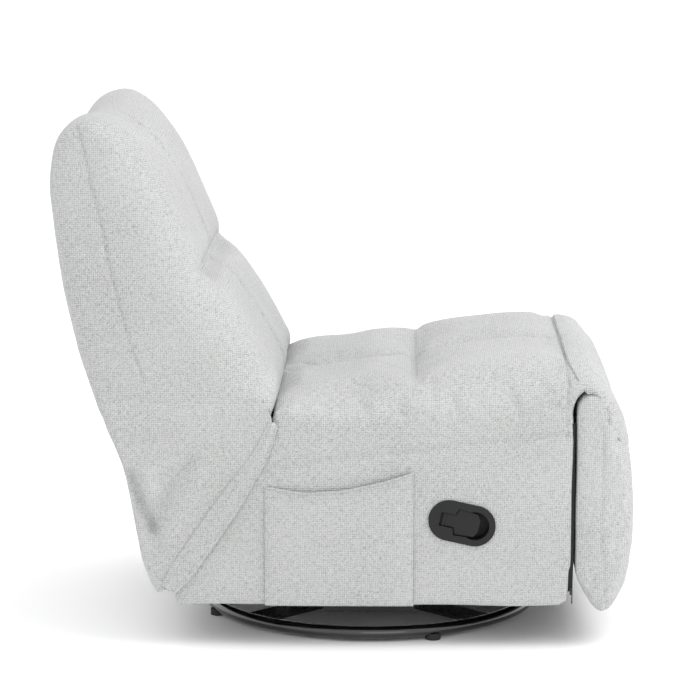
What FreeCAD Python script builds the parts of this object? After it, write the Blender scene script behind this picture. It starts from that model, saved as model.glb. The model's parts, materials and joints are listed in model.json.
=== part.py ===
"""Armless swivel glider recliner for a nursery.

The chair stands on the floor at Z = 0 and faces -Y.  Its left is +X.  All sizes are millimetres.
From the floor up: a ring base, a ball swivel, a glide base with four hanging links, the seat box
with its legrest drive, a backrest that tips on two pins, and a footrest that swings out in front.
"""
import FreeCAD, Part

import math
import os

import Sketcher

# ---------------------------------------------------------------- driving sizes

SIZES = {
    # whole chair
    "overall_width": 690, "side_tuck": 4, "body_bottom": 75, "body_front": -410,
    "shoulder_radius": 88,
    # ring base and swivel
    "swivel_y": -52, "ring_radius": 304, "ring_tube": 11, "foot_height": 6, "foot_radius": 14,
    "arm_width": 60, "arm_thickness": 5, "plate_radius": 105, "plate_thickness": 4,
    "ball_radius": 6, "ball_circle": 85, "ball_play": 0.1, "pin_radius": 5, "pin_play": 0.05,
    "swivel_pin_radius": 12, "bolt_radius": 4, "bolt_circle": 55, "bolt_play": 0.3,
    # glide base
    "crossbar_size": 25, "glide_half_width": 240, "steel_plate": 4, "side_gap": 2,
    "glide_reach": 100, "pivot_height": 300, "link_length": 140, "link_width": 26,
    "bush_radius": 8, "boss_radius": 13, "bar_spread": 0.66, "bolt_head": 1.8,
    # seat box
    "board_thickness": 18, "padding_thickness": 13, "board_lift": 10, "board_front": -400,
    "deck_height": 397, "rail_drop": 9, "front_board": 18, "rear_rail_front": 110,
    "rear_rail_depth": 20, "rail_height": 40, "corner_size": 40, "skirt_rail_front": 215,
    "skirt_rail_depth": 20, "skirt_rail_height": 40,
    "spring_count": 5, "spring_pitch": 100, "wire_radius": 1.9, "wave_width": 40,
    "clip_width": 20, "clip_depth": 12, "clip_height": 7,
    "board_bulge": 10, "board_bulge_height": 90,
    # seat upholstery
    "seat_top": 506, "seat_fall": 44, "seat_crown": 6, "cushion_rear": 104, "front_seam": -403,
    "bolster_reach": 57, "bolster_drop": 22, "bolster_gap": 9, "hinge_side_gap": 5,
    "bolster_lift": 8, "edge_margin": 2,
    # side pocket
    "pocket_rear": 131, "pocket_front": -132, "pocket_rear_top": 290, "pocket_front_top": 318,
    "pocket_dip": 22, "pocket_gap": 5, "pocket_cloth": 2.5, "pocket_hem": 10,
    "pocket_turn": 2, "zip_height": 22, "zip_length": 12, "zip_depth": 5, "zip_inset": 2,
    "zip_width": 6, "zip_pull": 16,
    # footrest and its drive
    "legrest_y": -455, "legrest_z": 430, "footrest_round": 36, "footrest_bottom": 58,
    "footrest_front": -519, "footrest_board": 15, "board_setback": 0, "drive_y": -290,
    "drive_z": 330, "crank_back": 30, "crank_down": 95, "tube_radius": 10, "tube_wall": 2,
    "crank_boss": 10, "footrest_corner": 35, "hinge_arm": 9, "drive_pin": 4,
    "open_play": 0.4, "tube_bush_wall": 4, "notch_bottom": 245, "link_half_share": 0.8,
    "shin_setback": 13, "shin_drop": 62, "belly_drop": 10, "toe_setback": 45, "toe_low": 30,
    "toe_high": 80, "toe_rear": 22, "panel_low": 24, "panel_top": 30, "lug_slot": 45,
    "rear_slack": 20, "bar_margin": 5, "bracket_heel": 30, "bracket_shoulder": 20,
    "arm_reach": 70, "arm_drop": 85, "arm_foot": 40, "arm_width_rear": 30, "arm_top": 10,
    # backrest
    "recline_y": 200, "recline_z": 350, "back_low": 440, "back_top": 945, "back_front": 109,
    "back_lean": 258, "pillow_bulge": 13, "thick_low": 340, "thick_high": 155,
    "kink_y": 384, "kink_z": 330, "back_step": 430, "back_narrow": 2,
    "stile_width": 30, "stile_depth": 40, "back_rail_height": 60, "web_thickness": 3,
    "web_width": 50, "back_corner": 24, "crest_front": 44, "crest_rear": 42,
    "belly_depth": 100, "belly_lift": 58, "under_drop": 50, "under_front": 40,
    "under_front_drop": 20, "under_rise": 45, "frame_inset": 30, "frame_lift": 8,
    "frame_cover": 32, "arm_tip": 16, "arm_back": 60, "arm_rise": 20, "step_gap": 4,
    "hinge_drop": 40, "hinge_foot": 130, "hinge_foot_width": 40,
    "skirt_cloth": 6, "skirt_gap": 3, "skirt_bottom": 76, "skirt_side": 4,
    "skirt_upper_in": 21, "skirt_upper_drop": 105, "skirt_lower_in": 52,
    "skirt_lower_drop": 215, "skirt_hem_in": 77, "skirt_hem_rise": 19, "skirt_top_out": 41,
    "skirt_slack": 4,
    "strip_low_y": 300, "strip_low_z": 120, "strip_bottom_y": 286,
    # release handle
    "handle_y": -218, "handle_z": 228, "handle_tilt": 12.5, "bezel_length": 120,
    "bezel_height": 73, "bezel_flange": 4, "bezel_lip": 8, "housing_depth": 28, "housing_wall": 3,
    "bezel_play": 0.5, "paddle_pivot": 33, "paddle_pin": 2.5, "paddle_thickness": 6,
    "neck_width": 22, "neck_length": 24, "head_width": 46, "head_length": 34, "head_bow": 6,
    "head_slope": 4, "paddle_gap": 1.5, "knuckle_radius": 5,
    "cable_radius": 2.5, "cable_start": 28, "cable_rise": 42, "cable_step": 26,
    "cable_fall": 8, "anchor_width": 16, "anchor_height": 20, "clamp_depth": 12,
    "latch_length": 28, "latch_rise": 22, "head_taper": 0.9,
}

FOOT_ANGLES = (45, 135, 225, 315)
BALL_COUNT = 12
SIDES = (("left", 1), ("right", -1))


class Size:
    """A length that carries its number and the spreadsheet formula behind it."""

    def __init__(self, value, formula):
        self.value = value
        self.formula = formula

    @staticmethod
    def of(other):
        return other if isinstance(other, Size) else Size(float(other), repr(float(other)))

    def __add__(self, other):
        other = Size.of(other)
        return Size(self.value + other.value, f"({self.formula} + {other.formula})")

    def __sub__(self, other):
        other = Size.of(other)
        return Size(self.value - other.value, f"({self.formula} - {other.formula})")

    def __mul__(self, other):
        other = Size.of(other)
        return Size(self.value * other.value, f"({self.formula} * {other.formula})")

    def __truediv__(self, other):
        other = Size.of(other)
        return Size(self.value / other.value, f"({self.formula} / {other.formula})")

    def __radd__(self, other):
        return Size.of(other) + self

    def __rsub__(self, other):
        return Size.of(other) - self

    def __rmul__(self, other):
        return Size.of(other) * self

    def __neg__(self):
        return Size(-self.value, f"(0 - {self.formula})")


document = FreeCAD.newDocument("GliderRecliner")
sheet = document.addObject("Spreadsheet::Sheet", "Sizes")
for row, (alias, number) in enumerate(SIZES.items(), start=1):
    sheet.set(f"A{row}", alias.replace("_", " "))
    sheet.set(f"B{row}", str(number))
    sheet.setAlias(f"B{row}", alias)
document.recompute()


class Cells:
    """Gives each driving size as a Size, by its alias."""

    def __getattr__(self, alias):
        return Size(float(SIZES[alias]), f"Sizes.{alias}")


s = Cells()
nodes = []

# ---------------------------------------------------------------- small helpers


def bind(item, **sizes):
    """Binds properties of an object to formulas; a double underscore stands for a dot."""
    for name, size in sizes.items():
        size = Size.of(size)
        item.setExpression(name.replace("__", "."), size.formula)


def node(item, label):
    """Names a finished sub-part; the label is also its file name."""
    item.Label = label
    nodes.append(item)
    return item


def box(name, x, y, z):
    """A box between two limits along each axis."""
    item = document.addObject("Part::Box", name)
    bind(item, Length=x[1] - x[0], Width=y[1] - y[0], Height=z[1] - z[0],
         Placement__Base__x=x[0], Placement__Base__y=y[0], Placement__Base__z=z[0])
    return item


ALONG = {"x": FreeCAD.Rotation(FreeCAD.Vector(0, 1, 0), 90), "y": FreeCAD.Rotation(
    FreeCAD.Vector(1, 0, 0), -90), "z": FreeCAD.Rotation()}


def rod(name, axis, x, y, z, radius, length):
    """A round bar that starts at a point and runs along an axis."""
    item = document.addObject("Part::Cylinder", name)
    item.Placement = FreeCAD.Placement(FreeCAD.Vector(), ALONG[axis])
    bind(item, Radius=radius, Height=length, Placement__Base__x=x, Placement__Base__y=y,
         Placement__Base__z=z)
    return item


def cut(name, base, tool):
    item = document.addObject("Part::Cut", name)
    item.Base = base
    item.Tool = tool
    return item


def group(name, pieces):
    """Several pieces as one object: joined where they touch, apart where they don't."""
    item = document.addObject("Part::MultiFuse", name)
    item.Shapes = pieces
    return item


def mirrored(sign, near, far):
    """Limits along X for a piece on the left (+1) or the right (-1) of the chair."""
    return (near, far) if sign > 0 else (-far, -near)


def origin_plane(body, role):
    return next(item for item in body.Origin.OriginFeatures if item.Role == role)


def new_sketch(body, name, role, offset):
    """A sketch on one of its body's own origin planes, moved along the plane's normal."""
    sketch = body.newObject("Sketcher::SketchObject", name)
    sketch.AttachmentSupport = (origin_plane(body, role), [""])
    sketch.MapMode = "FlatFace"
    bind(sketch, AttachmentOffset__Base__z=offset)
    return sketch


def place_point(sketch, geometry, vertex, point):
    """Ties a vertex to the sketch origin with one horizontal and one vertical size."""
    for kind, size in (("DistanceX", Size.of(point[0])), ("DistanceY", Size.of(point[1]))):
        index = sketch.addConstraint(
            Sketcher.Constraint(kind, -1, 1, geometry, vertex, size.value))
        sketch.setExpression(f"Constraints[{index}]", size.formula)


def draw_outline(sketch, points):
    """A closed polygon whose corners are all bound to the sheet."""
    corners = [FreeCAD.Vector(Size.of(a).value, Size.of(b).value, 0) for a, b in points]
    first = sketch.GeometryCount
    count = len(corners)
    for index in range(count):
        sketch.addGeometry(Part.LineSegment(corners[index], corners[(index + 1) % count]))
    for index in range(count):
        sketch.addConstraint(Sketcher.Constraint(
            "Coincident", first + index, 2, first + (index + 1) % count, 1))
    for index, point in enumerate(points):
        place_point(sketch, first + index, 1, point)


def draw_circle(sketch, centre, radius):
    radius = Size.of(radius)
    middle = FreeCAD.Vector(Size.of(centre[0]).value, Size.of(centre[1]).value, 0)
    index = sketch.addGeometry(Part.Circle(middle, FreeCAD.Vector(0, 0, 1), radius.value))
    constraint = sketch.addConstraint(Sketcher.Constraint("Radius", index, radius.value))
    sketch.setExpression(f"Constraints[{constraint}]", radius.formula)
    place_point(sketch, index, 3, centre)


def draw_slot(sketch, length, height):
    """A slot centred on the sketch origin, round at both ends."""
    reach = (length - height) / 2
    radius = height / 2
    a, r = reach.value, radius.value
    up = FreeCAD.Vector(0, 0, 1)
    sketch.addGeometry(Part.ArcOfCircle(
        Part.Circle(FreeCAD.Vector(-a, 0, 0), up, r), math.pi / 2, 3 * math.pi / 2))
    sketch.addGeometry(Part.ArcOfCircle(
        Part.Circle(FreeCAD.Vector(a, 0, 0), up, r), -math.pi / 2, math.pi / 2))
    sketch.addGeometry(Part.LineSegment(FreeCAD.Vector(-a, r, 0), FreeCAD.Vector(a, r, 0)))
    sketch.addGeometry(Part.LineSegment(FreeCAD.Vector(-a, -r, 0), FreeCAD.Vector(a, -r, 0)))
    for ends in ((0, 1, 2, 1), (0, 2, 3, 1), (1, 2, 2, 2), (1, 1, 3, 2)):
        sketch.addConstraint(Sketcher.Constraint("Tangent", *ends))
    sketch.addConstraint(Sketcher.Constraint("PointOnObject", 0, 3, -1))
    sketch.addConstraint(Sketcher.Constraint("PointOnObject", 1, 3, -1))
    left = sketch.addConstraint(Sketcher.Constraint("DistanceX", -1, 1, 0, 3, -a))
    right = sketch.addConstraint(Sketcher.Constraint("DistanceX", -1, 1, 1, 3, a))
    round_end = sketch.addConstraint(Sketcher.Constraint("Radius", 0, r))
    sketch.setExpression(f"Constraints[{left}]", (-reach).formula)
    sketch.setExpression(f"Constraints[{right}]", reach.formula)
    sketch.setExpression(f"Constraints[{round_end}]", radius.formula)


def pad(body, sketch, length):
    feature = body.newObject("PartDesign::Pad", f"{sketch.Name}_pad")
    feature.Profile = sketch
    bind(feature, Length=length)
    sketch.Visibility = False
    body.Tip = feature
    return feature


def plate(label, role, across, outline, holes=()):
    """A flat piece cut from sheet or board: an outline with round holes, given a thickness."""
    body = document.addObject("PartDesign::Body", f"{label}_body")
    offset = -across[1] if role == "XZ_Plane" else across[0]
    sketch = new_sketch(body, f"{label}_outline", role, offset)
    draw_outline(sketch, outline)
    for hole in holes:
        draw_circle(sketch, hole[:2], hole[2])
    pad(body, sketch, across[1] - across[0])
    return body


def turned(radius, degrees, centre_y):
    """The X and Y of a point on a circle about the swivel axis."""
    angle = math.radians(degrees)
    return radius * round(math.cos(angle), 6), centre_y + radius * round(math.sin(angle), 6)


def soft(label, shape):
    """A padded part: one closed solid with rounded edges."""
    item = document.addObject("Part::Feature", label)
    item.Shape = shape
    item.Placement = FreeCAD.Placement()
    return node(item, label)


def side_prism(edges, half_width):
    """Extrudes a closed side outline evenly to both sides of the middle plane."""
    face = Part.Face(Part.Wire(Part.__sortEdges__(edges)))
    face.translate(FreeCAD.Vector(-half_width, 0, 0))
    return face.extrude(FreeCAD.Vector(2 * half_width, 0, 0))


def at(y, z):
    return FreeCAD.Vector(0, y, z)


def lines(points):
    return [Part.LineSegment(a, b).toShape() for a, b in zip(points, points[1:])]


def curve(points):
    spline = Part.BSplineCurve()
    spline.interpolate(points)
    return spline.toShape()


def arc(start, middle, end):
    return Part.Arc(start, middle, end).toShape()


def shouldered_prism(half, radius, low, top, front, rear):
    """A bar along Y whose two upper edges are rounded to one radius."""
    bar = block((-half, half), (front, rear), (low - radius, top))
    upper = [edge for edge in bar.Edges
             if abs(edge.CenterOfMass.z - top) < 1 and abs(edge.CenterOfMass.x) > half - 1]
    return bar.makeFillet(radius, upper)


def block(x, y, z):
    return Part.makeBox(x[1] - x[0], y[1] - y[0], z[1] - z[0], FreeCAD.Vector(x[0], y[0], z[0]))


# ---------------------------------------------------------------- places worked out once

half_width = s.overall_width / 2
side_face = half_width - s.side_tuck
board_out = side_face - s.padding_thickness
board_in = board_out - s.board_thickness
board_bottom = s.body_bottom + s.board_lift
rail_top = s.deck_height - s.rail_drop

ring_height = s.foot_height + s.ring_tube
arm_top = ring_height + s.arm_thickness / 2
lower_plate_top = arm_top + s.plate_thickness
upper_plate_bottom = lower_plate_top + s.ball_radius * 2 + s.ball_play
upper_plate_top = upper_plate_bottom + s.plate_thickness

upright_x = (s.glide_half_width, s.glide_half_width + s.steel_plate)
link_x = (upright_x[1] + s.side_gap, upright_x[1] + s.side_gap + s.steel_plate)
rail_x = (link_x[1] + s.side_gap, link_x[1] + s.side_gap + s.steel_plate)
front_pivot = s.swivel_y - s.glide_reach
rear_pivot = s.swivel_y + s.glide_reach
low_pivot = s.pivot_height - s.link_length

hinge_x = (board_in - s.steel_plate, board_in)
bracket_x = (hinge_x[0] - s.side_gap * 2 - s.steel_plate, hinge_x[0] - s.side_gap * 2)
drive_link_x = (bracket_x[0] - s.side_gap * 2 - s.steel_plate, bracket_x[0] - s.side_gap * 2)
crank_x = (drive_link_x[0] - s.side_gap * 2 - s.steel_plate, drive_link_x[0] - s.side_gap * 2)
lug_y, lug_z = s.legrest_y + s.crank_back, s.legrest_z - s.crank_down
crank_y, crank_z = s.drive_y + s.crank_back, s.drive_z - s.crank_down

# ---------------------------------------------------------------- ring base and swivel


def make_base():
    ring = document.addObject("Part::Torus", "ring_tube_body")
    bind(ring, Radius1=s.ring_radius, Radius2=s.ring_tube, Placement__Base__y=s.swivel_y,
         Placement__Base__z=ring_height)
    node(ring, "base_ring")

    half = s.arm_width / 2
    reach = s.ring_radius
    cross = document.addObject("PartDesign::Body", "arms_body")
    sketch = new_sketch(cross, "arms_outline", "XY_Plane", ring_height - s.arm_thickness / 2)
    draw_outline(sketch, [
        (half, half), (half, reach), (-half, reach), (-half, half), (-reach, half),
        (-reach, -half), (-half, -half), (-half, -reach), (half, -reach), (half, -half),
        (reach, -half), (reach, half)])
    for degrees in FOOT_ANGLES:
        x, y = turned(s.bolt_circle, degrees - 45, Size.of(0))
        draw_circle(sketch, (x, y), s.bolt_radius + s.bolt_play)
    draw_circle(sketch, (Size.of(0), Size.of(0)), s.swivel_pin_radius)
    pad(cross, sketch, s.arm_thickness)
    cross.Placement = FreeCAD.Placement(
        FreeCAD.Vector(), FreeCAD.Rotation(FreeCAD.Vector(0, 0, 1), 45))
    bind(cross, Placement__Base__y=s.swivel_y)
    weld = document.addObject("Part::Torus", "arm_weld_line")
    bind(weld, Radius1=s.ring_radius, Radius2=s.ring_tube, Placement__Base__y=s.swivel_y,
         Placement__Base__z=ring_height)
    node(cut("arms_cut", cross, weld), "base_arms")

    feet = []
    for index, degrees in enumerate(FOOT_ANGLES):
        x, y = turned(s.ring_radius, degrees - 22.5, s.swivel_y)
        feet.append(rod(f"foot_pad_{index}", "z", x, y, Size.of(0), s.foot_radius,
                        s.foot_height + s.ring_tube / 2))
    ring_print = document.addObject("Part::Torus", "foot_saddle")
    bind(ring_print, Radius1=s.ring_radius, Radius2=s.ring_tube, Placement__Base__y=s.swivel_y,
         Placement__Base__z=ring_height)
    node(cut("feet_cut", group("foot_blanks", feet), ring_print), "base_feet")

    lower = rod("lower_disc", "z", Size.of(0), s.swivel_y, arm_top, s.plate_radius,
                s.plate_thickness)
    holes = [rod("lower_disc_bore", "z", Size.of(0), s.swivel_y, arm_top,
                 s.swivel_pin_radius, s.plate_thickness)]
    bolts = []
    for index, degrees in enumerate(FOOT_ANGLES):
        x, y = turned(s.bolt_circle, degrees, s.swivel_y)
        holes.append(rod(f"lower_disc_hole_{index}", "z", x, y, arm_top,
                         s.bolt_radius + s.bolt_play, s.plate_thickness))
        bolts.append(rod(f"base_bolt_shank_{index}", "z", x, y, arm_top - s.arm_thickness,
                         s.bolt_radius, s.arm_thickness + s.plate_thickness))
        bolts.append(rod(f"base_bolt_head_{index}", "z", x, y, lower_plate_top,
                         s.bolt_radius * s.bolt_head, s.bolt_radius))
    node(cut("lower_disc_cut", lower, group("lower_disc_holes", holes)), "swivel_bottom_plate")
    node(group("base_bolt_set", bolts), "base_bolts")

    cage_low = lower_plate_top + s.ball_radius - s.ball_radius / 2
    cage = rod("cage_blank", "z", Size.of(0), s.swivel_y, cage_low,
               s.ball_circle + s.ball_radius * 1.6, s.ball_radius)
    cage_cuts = [rod("cage_bore", "z", Size.of(0), s.swivel_y, cage_low,
                     s.ball_circle - s.ball_radius * 1.6, s.ball_radius)]
    balls = []
    for index in range(BALL_COUNT):
        x, y = turned(s.ball_circle, index * 360 / BALL_COUNT, s.swivel_y)
        ball = document.addObject("Part::Sphere", f"ball_{index}")
        bind(ball, Radius=s.ball_radius, Placement__Base__x=x, Placement__Base__y=y,
             Placement__Base__z=lower_plate_top + s.ball_radius)
        balls.append(ball)
        cage_cuts.append(rod(f"cage_hole_{index}", "z", x, y, cage_low,
                             s.ball_radius + s.pin_play, s.ball_radius))
    node(group("ball_set", balls), "swivel_balls")
    node(cut("cage_cut", cage, group("cage_holes", cage_cuts)), "ball_cage")

    stem_bottom = arm_top - s.arm_thickness
    node(rod("stem", "z", Size.of(0), s.swivel_y, stem_bottom, s.swivel_pin_radius,
             upper_plate_top - stem_bottom + s.plate_thickness), "swivel_stem")


# ---------------------------------------------------------------- glide base and hanging links


def make_glide():
    disc = rod("upper_disc", "z", Size.of(0), s.swivel_y, upper_plate_bottom, s.plate_radius,
               s.plate_thickness)
    bore = rod("upper_disc_bore", "z", Size.of(0), s.swivel_y, upper_plate_bottom,
               s.swivel_pin_radius + s.pin_play, s.plate_thickness)
    node(cut("upper_disc_cut", disc, bore), "swivel_top_plate")

    half = s.crossbar_size / 2
    bar_offset = s.plate_radius * s.bar_spread
    bars = []
    for name, sign in (("front", -1), ("rear", 1)):
        y = s.swivel_y + bar_offset * sign
        bars.append(box(f"crossbar_{name}", (-s.glide_half_width, s.glide_half_width),
                        (y - half, y + half),
                        (upper_plate_top, upper_plate_top + s.crossbar_size)))
    node(group("crossbar_set", bars), "glide_crossbars")

    boss = s.boss_radius
    top = s.pivot_height + boss
    for side, sign in SIDES:
        outline = [(s.swivel_y - bar_offset - half, upper_plate_top),
                   (s.swivel_y + bar_offset + half, upper_plate_top),
                   (rear_pivot + boss, s.pivot_height - boss), (rear_pivot + boss, top),
                   (front_pivot - boss, top), (front_pivot - boss, s.pivot_height - boss)]
        holes = [(front_pivot, s.pivot_height, s.pin_radius),
                 (rear_pivot, s.pivot_height, s.pin_radius)]
        node(plate(f"upright_{side}", "YZ_Plane", mirrored(sign, *upright_x), outline, holes),
             f"glide_upright_{side}")

    pins = []
    reach = s.side_gap * 1.5 + s.steel_plate * 2
    for side, sign in SIDES:
        start = mirrored(sign, upright_x[0], upright_x[0] + reach)[0]
        for name, y in (("front", front_pivot), ("rear", rear_pivot)):
            pins.append(rod(f"upper_pin_{name}_{side}", "x", start, y, s.pivot_height,
                            s.pin_radius, reach))
    node(group("upper_pin_set", pins), "upper_pivot_pins")


def make_links():
    half = s.link_width / 2
    for name, y in (("front", front_pivot), ("rear", rear_pivot)):
        bushes = []
        for side, sign in SIDES:
            outline = [(y - half, low_pivot - half), (y + half, low_pivot - half),
                       (y + half, s.pivot_height + half), (y - half, s.pivot_height + half)]
            holes = [(y, s.pivot_height, s.bush_radius), (y, low_pivot, s.bush_radius)]
            across = mirrored(sign, *link_x)
            node(plate(f"{name}_link_{side}_plate", "YZ_Plane", across, outline, holes),
                 f"{name}_link_{side}")
            for place, z in (("upper", s.pivot_height), ("lower", low_pivot)):
                play = s.open_play if (name, place) == ("rear", "lower") else s.pin_play
                tube = rod(f"{name}_{place}_bush_{side}", "x", across[0], y, z,
                           s.bush_radius, s.steel_plate)
                bore = rod(f"{name}_{place}_bore_{side}", "x", across[0], y, z,
                           s.pin_radius + play, s.steel_plate)
                bushes.append(cut(f"{name}_{place}_ring_{side}", tube, bore))
        node(group(f"{name}_bush_set", bushes), f"{name}_link_bushes")


# ---------------------------------------------------------------- seat box


def make_seat_frame():
    rail_front = s.board_front + s.front_board
    half_rail = s.rail_height / 2
    for side, sign in SIDES:
        outline = [(rail_front, low_pivot - half_rail), (s.rear_rail_front, low_pivot - half_rail),
                   (s.rear_rail_front, low_pivot + half_rail), (rail_front, low_pivot + half_rail)]
        holes = [(front_pivot, low_pivot, s.pin_radius), (rear_pivot, low_pivot, s.pin_radius)]
        node(plate(f"rail_{side}", "YZ_Plane", mirrored(sign, *rail_x), outline, holes),
             f"mechanism_rail_{side}")

    pins = []
    reach = s.steel_plate * 2 + s.side_gap * 1.5
    for side, sign in SIDES:
        start = mirrored(sign, rail_x[1] - reach, rail_x[1])[0]
        for name, y in (("front", front_pivot), ("rear", rear_pivot)):
            pins.append(rod(f"lower_pin_{name}_{side}", "x", start, y, low_pivot,
                            s.pin_radius, reach))
    node(group("lower_pin_set", pins), "lower_pivot_pins")

    rear_top = s.rear_rail_front + s.rear_rail_depth
    rear_low = s.skirt_rail_front + s.skirt_rail_depth
    for side, sign in SIDES:
        outline = [(s.board_front, board_bottom), (rear_low, board_bottom),
                   (rear_low + s.board_bulge, board_bottom + s.board_bulge_height),
                   (rear_top, s.deck_height),
                   (s.board_front, s.deck_height)]
        holes = [(s.drive_y, s.drive_z, s.tube_radius + s.tube_bush_wall)]
        board = plate(f"side_board_{side}_panel", "YZ_Plane", mirrored(sign, board_in, board_out),
                      outline, holes)
        if side == "right":
            cut_handle_hole(board, s.bezel_play, board_in, board_out)
        node(board, f"side_board_{side}")

    notch_in = crank_x[0] - s.side_gap * 2
    outline = [(-board_in, board_bottom), (board_in, board_bottom), (board_in, s.notch_bottom),
               (notch_in, s.notch_bottom), (notch_in, rail_top), (-notch_in, rail_top),
               (-notch_in, s.notch_bottom), (-board_in, s.notch_bottom)]
    node(plate("front_rail_panel", "XZ_Plane", (s.board_front, s.board_front + s.front_board),
               outline), "front_rail")
    node(box("rear_rail_board", (-board_in, board_in),
             (s.rear_rail_front, s.rear_rail_front + s.rear_rail_depth),
             (board_bottom, rail_top)), "rear_rail")
    node(box("skirt_rail_board", (-board_in, board_in),
             (s.skirt_rail_front, s.skirt_rail_front + s.skirt_rail_depth),
             (board_bottom, board_bottom + s.skirt_rail_height)), "skirt_rail")

    blocks = []
    for side, sign in SIDES:
        x = mirrored(sign, board_in - s.corner_size, board_in)
        front = s.board_front + s.front_board
        rear = s.rear_rail_front
        for name, y in (("front", (front, front + s.corner_size)),
                        ("rear", (rear - s.corner_size, rear))):
            blocks.append(box(f"corner_{name}_{side}", x, y,
                              (board_bottom, board_bottom + s.corner_size)))
    node(group("corner_set", blocks), "corner_blocks")


def make_springs():
    """Sinuous springs: flat waves of round wire that run from the front rail to the rear rail."""
    count = int(SIZES["spring_count"])
    radius = SIZES["wire_radius"]
    wave = SIZES["wave_width"] / 2
    front = SIZES["board_front"] + SIZES["front_board"] / 2
    rear = SIZES["rear_rail_front"] + SIZES["rear_rail_depth"] / 2
    height = rail_top.value + radius
    turns = 2 * int((rear - front) / 50) + 1
    step = (rear - front) / turns
    springs = []
    for index in range(count):
        x = (index - (count - 1) / 2) * SIZES["spring_pitch"]
        edges = []
        side = 1
        end = FreeCAD.Vector(x, front, height)
        for turn in range(turns):
            start = end
            end = FreeCAD.Vector(x, front + (turn + 1) * step, height)
            bend = (start + end) / 2 + FreeCAD.Vector(side * min(wave, step * 0.5), 0, 0)
            edges.append(Part.Arc(start, bend, end).toShape())
            side = -side
        path = Part.Wire(edges)
        tangent = edges[0].tangentAt(edges[0].FirstParameter)
        circle = Part.Wire(Part.makeCircle(radius, FreeCAD.Vector(x, front, height), tangent))
        springs.append(path.makePipeShell([circle], True, False))
    item = document.addObject("Part::Feature", "seat_springs")
    item.Shape = Part.makeCompound(springs)
    item.Placement = FreeCAD.Placement()
    node(item, "seat_springs")

    clips = []
    for index in range(count):
        x = s.spring_pitch * (index - (count - 1) / 2)
        for name, y in (("front", s.board_front + s.front_board / 2),
                        ("rear", s.rear_rail_front + s.rear_rail_depth / 2)):
            clips.append(box(f"clip_{name}_{index}", (x - s.clip_width / 2, x + s.clip_width / 2),
                             (y - s.clip_depth / 2, y + s.clip_depth / 2),
                             (rail_top, rail_top + s.clip_height)))
    node(group("clip_set", clips), "spring_clips")


# ---------------------------------------------------------------- release handle


def at_handle(sketch, offset):
    """Moves a sketch on the YZ plane to the handle's place and tilt."""
    sketch.AttachmentOffset = FreeCAD.Placement(
        FreeCAD.Vector(s.handle_y.value, s.handle_z.value, Size.of(offset).value),
        FreeCAD.Rotation(FreeCAD.Vector(0, 0, 1), SIZES["handle_tilt"]))
    bind(sketch, AttachmentOffset__Base__x=s.handle_y, AttachmentOffset__Base__y=s.handle_z,
         AttachmentOffset__Base__z=offset)
    return sketch


def handle_sketch(body, name, offset, length, height):
    """A slot outline at the handle's place on the side, tilted with it."""
    sketch = new_sketch(body, name, "YZ_Plane", offset)
    draw_slot(sketch, length, height)
    return at_handle(sketch, offset)


def cut_handle_hole(body, play, near, far):
    """Opens a right hand panel for the handle's housing."""
    sketch = handle_sketch(body, f"{body.Name}_handle_hole", -far,
                           s.bezel_length - s.bezel_lip * 2 + play * 2,
                           s.bezel_height - s.bezel_lip * 2 + play * 2)
    hole = body.newObject("PartDesign::Pocket", f"{body.Name}_handle_pocket")
    hole.Profile = sketch
    hole.Reversed = True
    bind(hole, Length=far - near)
    sketch.Visibility = False
    body.Tip = hole


def sink(body, sketch, depth):
    """Moves an outline to the handle and cuts it inwards from the outer face."""
    at_handle(sketch, -(side_face + s.bezel_flange))
    pocket = body.newObject("PartDesign::Pocket", f"{sketch.Name}_cut")
    pocket.Profile = sketch
    pocket.Reversed = True
    bind(pocket, Length=depth)
    sketch.Visibility = False
    body.Tip = pocket


def paddle_outline(grow):
    """The T of the paddle, grown all round by a gap: neck, wide head, bowed front edge."""
    half_neck, half_head = s.neck_width / 2 + grow, s.head_width / 2 + grow
    rear = s.paddle_pivot + s.knuckle_radius + grow
    front = s.paddle_pivot - s.neck_length + grow
    tip = s.paddle_pivot - s.neck_length - s.head_length
    half_tip = half_head * s.head_taper
    return [(rear, -half_neck), (rear, half_neck), (front + s.head_slope, half_neck),
            (front, half_head), (tip, half_tip), (tip - s.head_bow, half_tip / 2),
            (tip - s.head_bow, -half_tip / 2), (tip, -half_tip), (front, -half_head),
            (front + s.head_slope, -half_neck)]


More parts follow.
